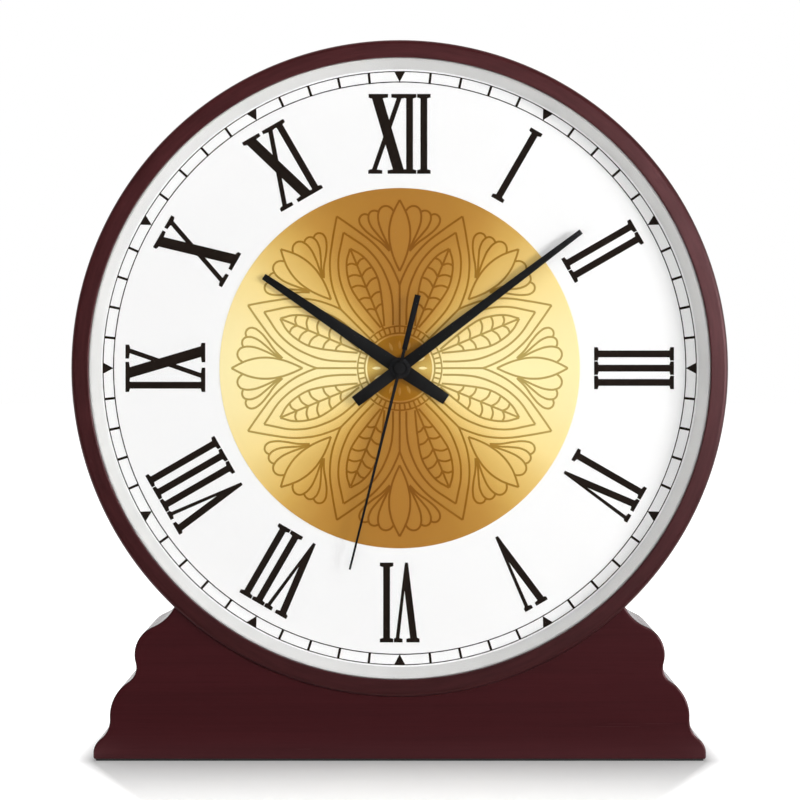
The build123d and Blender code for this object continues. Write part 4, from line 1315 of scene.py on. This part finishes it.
@dataclass
class WoodenCase:
    """The lacquered wood: the turned ring and the scalloped base, with the holes for the screws between them.

    All sizes are in millimetres and all angles in degrees.
    """

    outer_radius: float = 150.0
    bore_radius: float = 145.0
    opening_radius: float = 141.9
    ring_depth: float = 50.0
    lip_depth: float = 3.0
    front_round: float = 2.2
    back_round: float = 1.5
    lip_round: float = 0.6
    ring_segments: int = 256
    base_half_width: float = 140.2
    base_front: float = 3.0
    base_depth: float = 52.0
    base_bottom: float = 0.8
    base_corner: float = 1.0
    base_edge: float = 0.95
    foot_height: float = 4.1
    wing_angle: float = 43.4
    cradle_steps: int = 80
    cradle_slack: float = 0.02
    arc_steps: int = 12
    screw_angle: float = 20.0
    screw_depth: float = 32.0

    # Holes for one base screw: how far their ends lie from the dial's axis, and their radius
    ring_holes: tuple[tuple[float, float, float], ...] = ((138.0, 147.0, 3.6), (146.0, 156.0, 1.85))
    base_holes: tuple[tuple[float, float, float], ...] = ((145.0, 169.0, 1.75),)

    # Arcs up each side of the base: how far in and up each one ends, and its bulge as a share of its chord
    scallops: tuple[tuple[float, float, float], ...] = (
        (0.079, 0.085, 0.101),
        (0.202, 0.228, -0.13),
        (0.424, 0.479, 0.132),
        (0.52, 0.612, -0.17),
        (0.735, 0.861, 0.19),
        (1.0, 1.0, -0.091),
    )

    def build(self, finishes: dict[str, Finish]) -> list[Piece]:
        """Build and dress the ring and the base.

        Args:
            finishes: Every finish by slot.

        Returns:
            The finished pieces, which replace their plain nodes.
        """
        pieces = []
        for piece, node, slot in (
            (self._ring(), "frame_ring", "ring_wood"),
            (self._base(), "base_block", "base_wood"),
        ):
            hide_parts(node)
            reshape(smooth(piece), "WEIGHTED_NORMAL", keep_sharp=True)
            pieces.append(finish_piece(piece, finishes[slot].material(), "case"))
        return pieces

    @staticmethod
    def _quarter(across: float, along: float, radius: float, start: int, steps: int = 6) -> list[Point]:
        """Step through a quarter of a circle.

        Args:
            across: First coordinate of its centre.
            along: Second coordinate of its centre.
            radius: Its radius.
            start: Angle of its first point.
            steps: Number of steps.

        Returns:
            Its points, with both ends.
        """
        angles = [radians(start + 90 * step / steps) for step in range(steps + 1)]
        return [(across + radius * cos(angle), along + radius * sin(angle)) for angle in angles]

    def _ring(self) -> Piece:
        """Turn the ring with its lip and its rounded edges, and drill it for the screws.

        Returns:
            The ring.
        """
        lip, front, back = self.lip_round, self.front_round, self.back_round
        stations = [
            *self._quarter(self.opening_radius + lip, lip, lip, start=180),
            *self._quarter(self.outer_radius - front, front, front, start=270),
            *self._quarter(self.outer_radius - back, self.ring_depth - back, back, start=0),
            (self.bore_radius, self.ring_depth),
            (self.bore_radius, self.lip_depth),
            (self.opening_radius, self.lip_depth),
        ]
        ring = turned("frame_ring_turned", [*stations, stations[0]], self.ring_segments)
        return self._drilled(ring, self.ring_holes)

    def _drilled(self, piece: Piece, holes: Sequence[tuple[float, float, float]]) -> Piece:
        """Drill a piece for the left and the right base screw.

        Args:
            piece: The piece.
            holes: How far each hole's ends lie from the dial's axis, and its radius.

        Returns:
            The piece with its holes.
        """
        lean = radians(self.screw_angle)
        for side in (-1, 1):
            for start, end, radius in holes:
                ends = [
                    place_at(self.screw_depth, side * reach * sin(lean), -reach * cos(lean))
                    for reach in (start, end)
                ]
                drill(piece, *ends, radius)
        return piece

    def _arc(self, start: Point, end: Point, bulge: float) -> list[Point]:
        """Step through one scallop's arc.

        Args:
            start: Start of the arc.
            end: End of the arc.
            bulge: How far it bulges to the right of its way, as a share of its chord.

        Returns:
            The points after the start, of which the last one is the end.
        """
        way = Vector(end) - Vector(start)
        along = way.normalized()
        side = Vector((along.y, -along.x)) * (1 if bulge > 0 else -1)
        rise = abs(bulge) * way.length
        radius = (way.length**2 / 4 + rise**2) / (2 * rise)
        reach = 2 * atan2(2 * rise, way.length)
        centre = (Vector(start) + Vector(end)) / 2 - side * (radius - rise)
        angles = [reach * (2 * step / self.arc_steps - 1) for step in range(1, self.arc_steps + 1)]
        return [tuple(centre + radius * (along * sin(angle) + side * cos(angle))) for angle in angles]

    def _on_cradle(self, angle: float) -> Point:
        """Return the point of the ring's outside at an angle from its bottom, above the table."""
        lean = radians(angle)
        return (self.outer_radius * sin(lean), DIAL_HEIGHT / MM - self.outer_radius * cos(lean))

    def _right_side(self) -> list[Point]:
        """Draw the outline of the base's right side, from its underside to the wing's tip.

        Returns:
            Its points.
        """
        corner = self.base_corner
        side, bottom = self.base_half_width - corner, self.base_bottom + corner
        points = self._quarter(side, bottom, corner, start=270, steps=3)
        points.append((self.base_half_width, self.foot_height))
        tip_side, tip_height = self._on_cradle(self.wing_angle)
        way_in, way_up = self.base_half_width - tip_side, tip_height - self.foot_height
        for inward, upward, bulge in self.scallops:
            end = (self.base_half_width - inward * way_in, self.foot_height + upward * way_up)
            points += self._arc(points[-1], end, bulge)
        return points

    def _base(self) -> Piece:
        """Extrude the base round its outline, close it and round its front and back edges.

        Returns:
            The base.
        """
        right = self._right_side()
        steps = self.cradle_steps
        cradle = [self._on_cradle(self.wing_angle * (1 - 2 * step / steps)) for step in range(1, steps)]
        outline = [*right, *cradle, *((-x, z) for x, z in reversed(right))]
        start_side = outline[0][0] * MM
        near = FRONT + self.base_front * MM
        far = near + self.base_depth * MM
        centre = Vector((0.0, DIAL_HEIGHT))

        def is_outline(spot: Vector) -> bool:
            """Tell the edges round the front and the back, apart from the cradle's."""
            at_end = min(abs(spot.y - near), abs(spot.y - far)) < NEARBY
            return at_end and (spot.xz - centre).length > (self.outer_radius + self.cradle_slack) * MM

        deselect()
        bpy.ops.mesh.primitive_plane_add(size=1.0, location=(0.0, (near + far) / 2, self.base_bottom * MM))
        base = latest("base_block_scalloped")
        base.scale = (2 * start_side, self.base_depth * MM, 1.0)
        settle(base)
        pick(base, Pick.EDGES, lambda spot: spot.x > start_side - NEARBY)
        for (x, z), (next_x, next_z) in zip(outline, outline[1:]):
            step = ((next_x - x) * MM, 0.0, (next_z - z) * MM)
            bpy.ops.mesh.extrude_edges_move(TRANSFORM_OT_translate={"value": step})
        bpy.ops.mesh.select_all(action="SELECT")
        bpy.ops.mesh.remove_doubles(threshold=WIDE_MERGE)
        bpy.ops.mesh.fill_holes(sides=0)
        outward(base)
        pick(base, Pick.EDGES, is_outline)
        bpy.ops.mesh.bevel(offset=self.base_edge * MM, segments=4, affect="EDGES", clamp_overlap=False)
        return self._drilled(outward(base), self.base_holes)


@dataclass(frozen=True)
class Hand:
    """One flat hand with its boss, in millimetres, at its rest angle in degrees."""

    name: str
    body: str
    angle: float
    front: float
    thickness: float
    boss_radius: float
    bore_radius: float
    bars: tuple[tuple[float, float, float, float], ...]
    edge: float = 0.08

    def build(self, material: bpy.types.Material) -> Piece:
        """Build the hand from tapered bars and a bored boss.

        Args:
            material: The hand's paint.

        Returns:
            The hand, which replaces its plain node.
        """
        bars = [self._bar(*bar) for bar in self.bars]
        back = self.front + self.thickness
        stations = [
            (self.bore_radius, back),
            (self.bore_radius, self.front),
            (self.boss_radius - self.edge, self.front),
            (self.boss_radius, self.front + self.edge),
            (self.boss_radius, back),
            (self.bore_radius, back),
        ]
        boss = turned(self.name + "_boss", stations, segments=64)
        hand = join([*bars, boss], self.name + "_detailed")
        hand.matrix_world = dial_turn(self.angle)
        smooth(settle(hand), degrees=30.0)
        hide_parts(self.name)
        return finish_piece(hand, material, self.body)

    def _bar(self, start: float, start_width: float, end: float, end_width: float) -> Piece:
        """Taper a bar along the hand and soften its edges.

        Args:
            start: Distance of its first end from the axis.
            start_width: Width there.
            end: Distance of its other end.
            end_width: Width there.

        Returns:
            The bar, pointing to twelve.
        """
        middle = place_at(self.front + self.thickness / 2, 0.0, (start + end) / 2)
        bar = slab(self.name + "_bar", (start_width, self.thickness, abs(end - start)), middle)
        far = place_at(0.0, 0.0, end)
        pick(bar, Pick.VERTICES, lambda spot: abs(spot.z - far.z) < NEARBY)
        bpy.ops.transform.resize(value=(end_width / start_width, 1.0, 1.0), center_override=far)
        return reshape(
            bar, "BEVEL", width=self.edge * MM, segments=2, limit_method="ANGLE", angle_limit=radians(40.0)
        )


@dataclass
class HandStack:
    """The three hands, with the turned rim on the minute hand's boss."""

    hands: tuple[Hand, ...] = (
        Hand(
            "hour_hand", "hour_work", angle=304.0, front=10.9, thickness=0.6, boss_radius=4.95,
            bore_radius=2.2, bars=((2.3, 6.8, 75.6, 2.95), (-2.3, 6.8, -25.8, 5.3)),
        ),
        Hand(
            "minute_hand", "minute_work", angle=53.0, front=8.9, thickness=0.5, boss_radius=4.1,
            bore_radius=1.4, bars=((1.5, 5.4, 104.5, 2.45), (-1.5, 5.4, -25.6, 5.4)),
        ),
        Hand(
            "second_hand", "second_work", angle=193.95, front=7.3, thickness=0.35, boss_radius=2.65,
            bore_radius=0.5, edge=0.05,
            bars=((0.6, 1.5, 95.2, 0.95), (-0.6, 1.5, -9.5, 1.5), (-8.75, 2.4, -34.7, 2.8)),
        ),
    )

    # Profile of the rim: radius and depth
    rim: tuple[Point, ...] = (
        (2.9, 8.9), (2.9, 8.62), (3.3, 8.4), (4.2, 8.4), (4.75, 8.5), (4.9, 8.75), (4.9, 9.0), (2.9, 9.0),
        (2.9, 8.9),
    )

    def build(self, finishes: dict[str, Finish]) -> list[Piece]:
        """Build and dress the hands and the rim.

        Args:
            finishes: Every finish by slot.

        Returns:
            The finished pieces.
        """
        paint = finishes["hand_black"].material()
        hands = [hand.build(paint) for hand in self.hands]
        rim = smooth(turned("minute_hand_rim", self.rim, segments=96), degrees=30.0)
        lathe_black = Coating("Black turned rim", tone(21, 21, 23), tone(26, 26, 29), 0.22, shine=0.6)
        return [*hands, finish_piece(rim, lathe_black.material(), "minute_work")]


# The studio


class Shows(Enum):
    """Surfaces on which a lamp's light shows."""

    EVERYWHERE = "everywhere"
    MATT = "matt surfaces only"
    GLOSS = "glossy surfaces only"


@dataclass(frozen=True)
class Lamp:
    """Rectangular soft lamp that faces the dial: place and size in metres, power in watts."""

    name: str
    spot: tuple[float, float, float]
    size: tuple[float, float]
    power: float
    shows: Shows = Shows.MATT

    def build(self) -> None:
        """Add the lamp."""
        deselect()
        bpy.ops.object.light_add(type="AREA", location=self.spot)
        lamp = latest(self.name)
        lamp.data.shape = "RECTANGLE"
        lamp.data.size, lamp.data.size_y = self.size
        lamp.data.energy = self.power
        lamp.visible_diffuse = self.shows is not Shows.GLOSS
        lamp.visible_glossy = self.shows is not Shows.MATT
        lamp.visible_transmission = self.shows is Shows.EVERYWHERE
        aim = Vector((0.0, 0.0, DIAL_HEIGHT)) - Vector(self.spot)
        lamp.rotation_euler = aim.to_track_quat("-Z", "Y").to_euler()


@dataclass
class Studio:
    """Floor, background, lamps and camera, in metres."""

    camera_distance: float = 0.945
    camera_height: float = 0.1887
    camera_side: float = 0.00014
    camera_drop: float = -0.0644
    lens: float = 93.3
    ambient: float = 0.29
    front_gloss: float = 0.02
    floor_size: float = 12.0
    floor_tone: Colour = (0.62, 0.62, 0.62, 1.0)
    base_near: float = 0.0245
    base_far: float = 0.0275
    base_side: float = 0.140
    side_slant: float = 0.4
    # Painted shadow: the floor's glow is this weak at the base, and grows by these rates in front of, behind
    # and beside it
    painted_shadow_glow: float = 0.17
    painted_shadow_fade: float = 4.6
    painted_shadow_side_fade: float = 70.0
    lamps: tuple[Lamp, ...] = (
        Lamp("key", (1.2, -1.1, 0.28), (0.55, 0.55), 13.3, Shows.EVERYWHERE),
        Lamp("fill", (-1.3, -1.6, 0.30), (1.4, 1.4), 3.8),
        Lamp("top", (0.0, 0.25, 1.6), (0.8, 1.0), 11.0),
        Lamp("front", (0.0, -2.2, 0.30), (1.0, 1.0), 4.15),
        Lamp("low", (0.0, -1.0, 0.08), (1.2, 0.1), 2.7),
        Lamp("high", (0.0, -1.0, 1.1), (1.2, 0.5), 1.05),
        Lamp("sheen", (0.34, -0.97, 0.28), (0.12, 0.12), 1.7, Shows.GLOSS),
        Lamp("edge", (1.1, -0.35, 0.25), (0.5, 0.6), 5.0, Shows.GLOSS),
    )

    def build(self) -> None:
        """Build the studio round the clock."""
        self._floor()
        self._world()
        for lamp in self.lamps:
            lamp.build()
        self._camera()

    def _floor(self) -> None:
        """Lay a pale floor that keeps the clock's shadow and meets the background without a line. Its glow is
        weakest at the base and grows away from it, which paints a shadow round the base on top of the real
        one.
        """
        deselect()
        bpy.ops.mesh.primitive_plane_add(size=self.floor_size)
        floor = settle(latest("studio_floor"))
        material = bpy.data.materials.new("Pale floor")
        g = bare_graph(material)
        matt = g.add("BsdfDiffuse", {"Color": self.floor_tone})[0]
        path = g.add("LightPath", {})
        seen = g.most(path["Is Camera Ray"], path["Is Glossy Ray"], path["Is Transmission Ray"])
        spot = g.parts(g.add("TexCoord", {})["Object"])
        # Painted shadow: the glow is weakest by the base and grows with distance from it, darkening the floor
        # round the base
        ahead = g.most(g.level(spot[1], gain=-1.0, shift=-self.base_near), 0.0)
        aback = g.most(g.math("SUBTRACT", spot[1], self.base_far), 0.0)
        past_side = g.level(ahead, gain=self.side_slant, shift=-self.base_side)
        beside = g.most(g.math("ADD", g.math("ABSOLUTE", spot[0]), past_side), 0.0)
        painted_shadow_lift = g.level(g.math("ADD", ahead, aback), gain=self.painted_shadow_fade, shift=self.painted_shadow_glow)
        painted_shadow_lift = g.level(beside, gain=self.painted_shadow_side_fade, shift=painted_shadow_lift, clamp=True)
        glow = g.add("Emission", {"Color": WHITE, "Strength": g.math("MULTIPLY", seen, painted_shadow_lift)})[0]
        pale = g.add("AddShader", {0: matt, 1: glow})[0]
        in_front = g.level(spot[1], gain=-20.0, shift=-0.6, clamp=True)
        mirrored = g.most(path["Is Glossy Ray"], path["Is Singular Ray"])
        shaded = g.math("MULTIPLY", mirrored, in_front)
        card = g.add("Emission", {"Color": WHITE, "Strength": self.front_gloss})[0]
        g.add("OutputMaterial", {"Surface": g.add("MixShader", {0: shaded, 1: pale, 2: card})[0]})
        floor.data.materials.append(material)

    def _world(self) -> None:
        """Make a background that is white for the camera and, behind the clock, in gloss and glass."""
        world = bpy.data.worlds.new("Studio air")
        bpy.context.scene.world = world
        g = bare_graph(world)
        path = g.add("LightPath", {})
        direction = g.parts(g.add("TexCoord", {})["Generated"])[1]
        behind = g.level(direction, gain=2.0, shift=0.2, clamp=True)
        soft = g.level(path["Is Diffuse Ray"], gain=self.ambient - self.front_gloss, shift=self.front_gloss)
        passing = g.most(path["Is Glossy Ray"], path["Is Singular Ray"], path["Is Transmission Ray"])
        strength = g.most(path["Is Camera Ray"], g.math("MULTIPLY", passing, behind), soft)
        air = g.add("Background", {"Color": WHITE, "Strength": strength})[0]
        g.add("OutputWorld", {"Surface": air})

    def _camera(self) -> None:
        """Set a level camera straight in front of the dial, a little above its centre."""
        data = bpy.data.cameras.new("Studio camera")
        data.lens = self.lens
        data.shift_y = self.camera_drop
        camera = bpy.data.objects.new("Studio camera", data)
        camera.location = (self.camera_side, FRONT - self.camera_distance, self.camera_height)
        camera.rotation_euler = (pi / 2, 0.0, 0.0)
        bpy.context.scene.collection.objects.link(camera)
        bpy.context.scene.camera = camera
        bpy.context.scene.view_settings.view_transform = "Standard"


def main() -> None:
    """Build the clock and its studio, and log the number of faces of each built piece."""
    logging.basicConfig(level=logging.INFO, format="%(name)s: %(message)s")
    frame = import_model()
    finishes = palette()
    PlainNodes(frame).dress(finishes)
    for assembly in (WoodenCase(), Rosette(), HandStack()):
        for piece in assembly.build(finishes):
            LOG.info("built %s with %d faces", piece.name, len(piece.data.polygons))
    Studio().build()
    deselect()


if __name__ == "__main__":
    main()
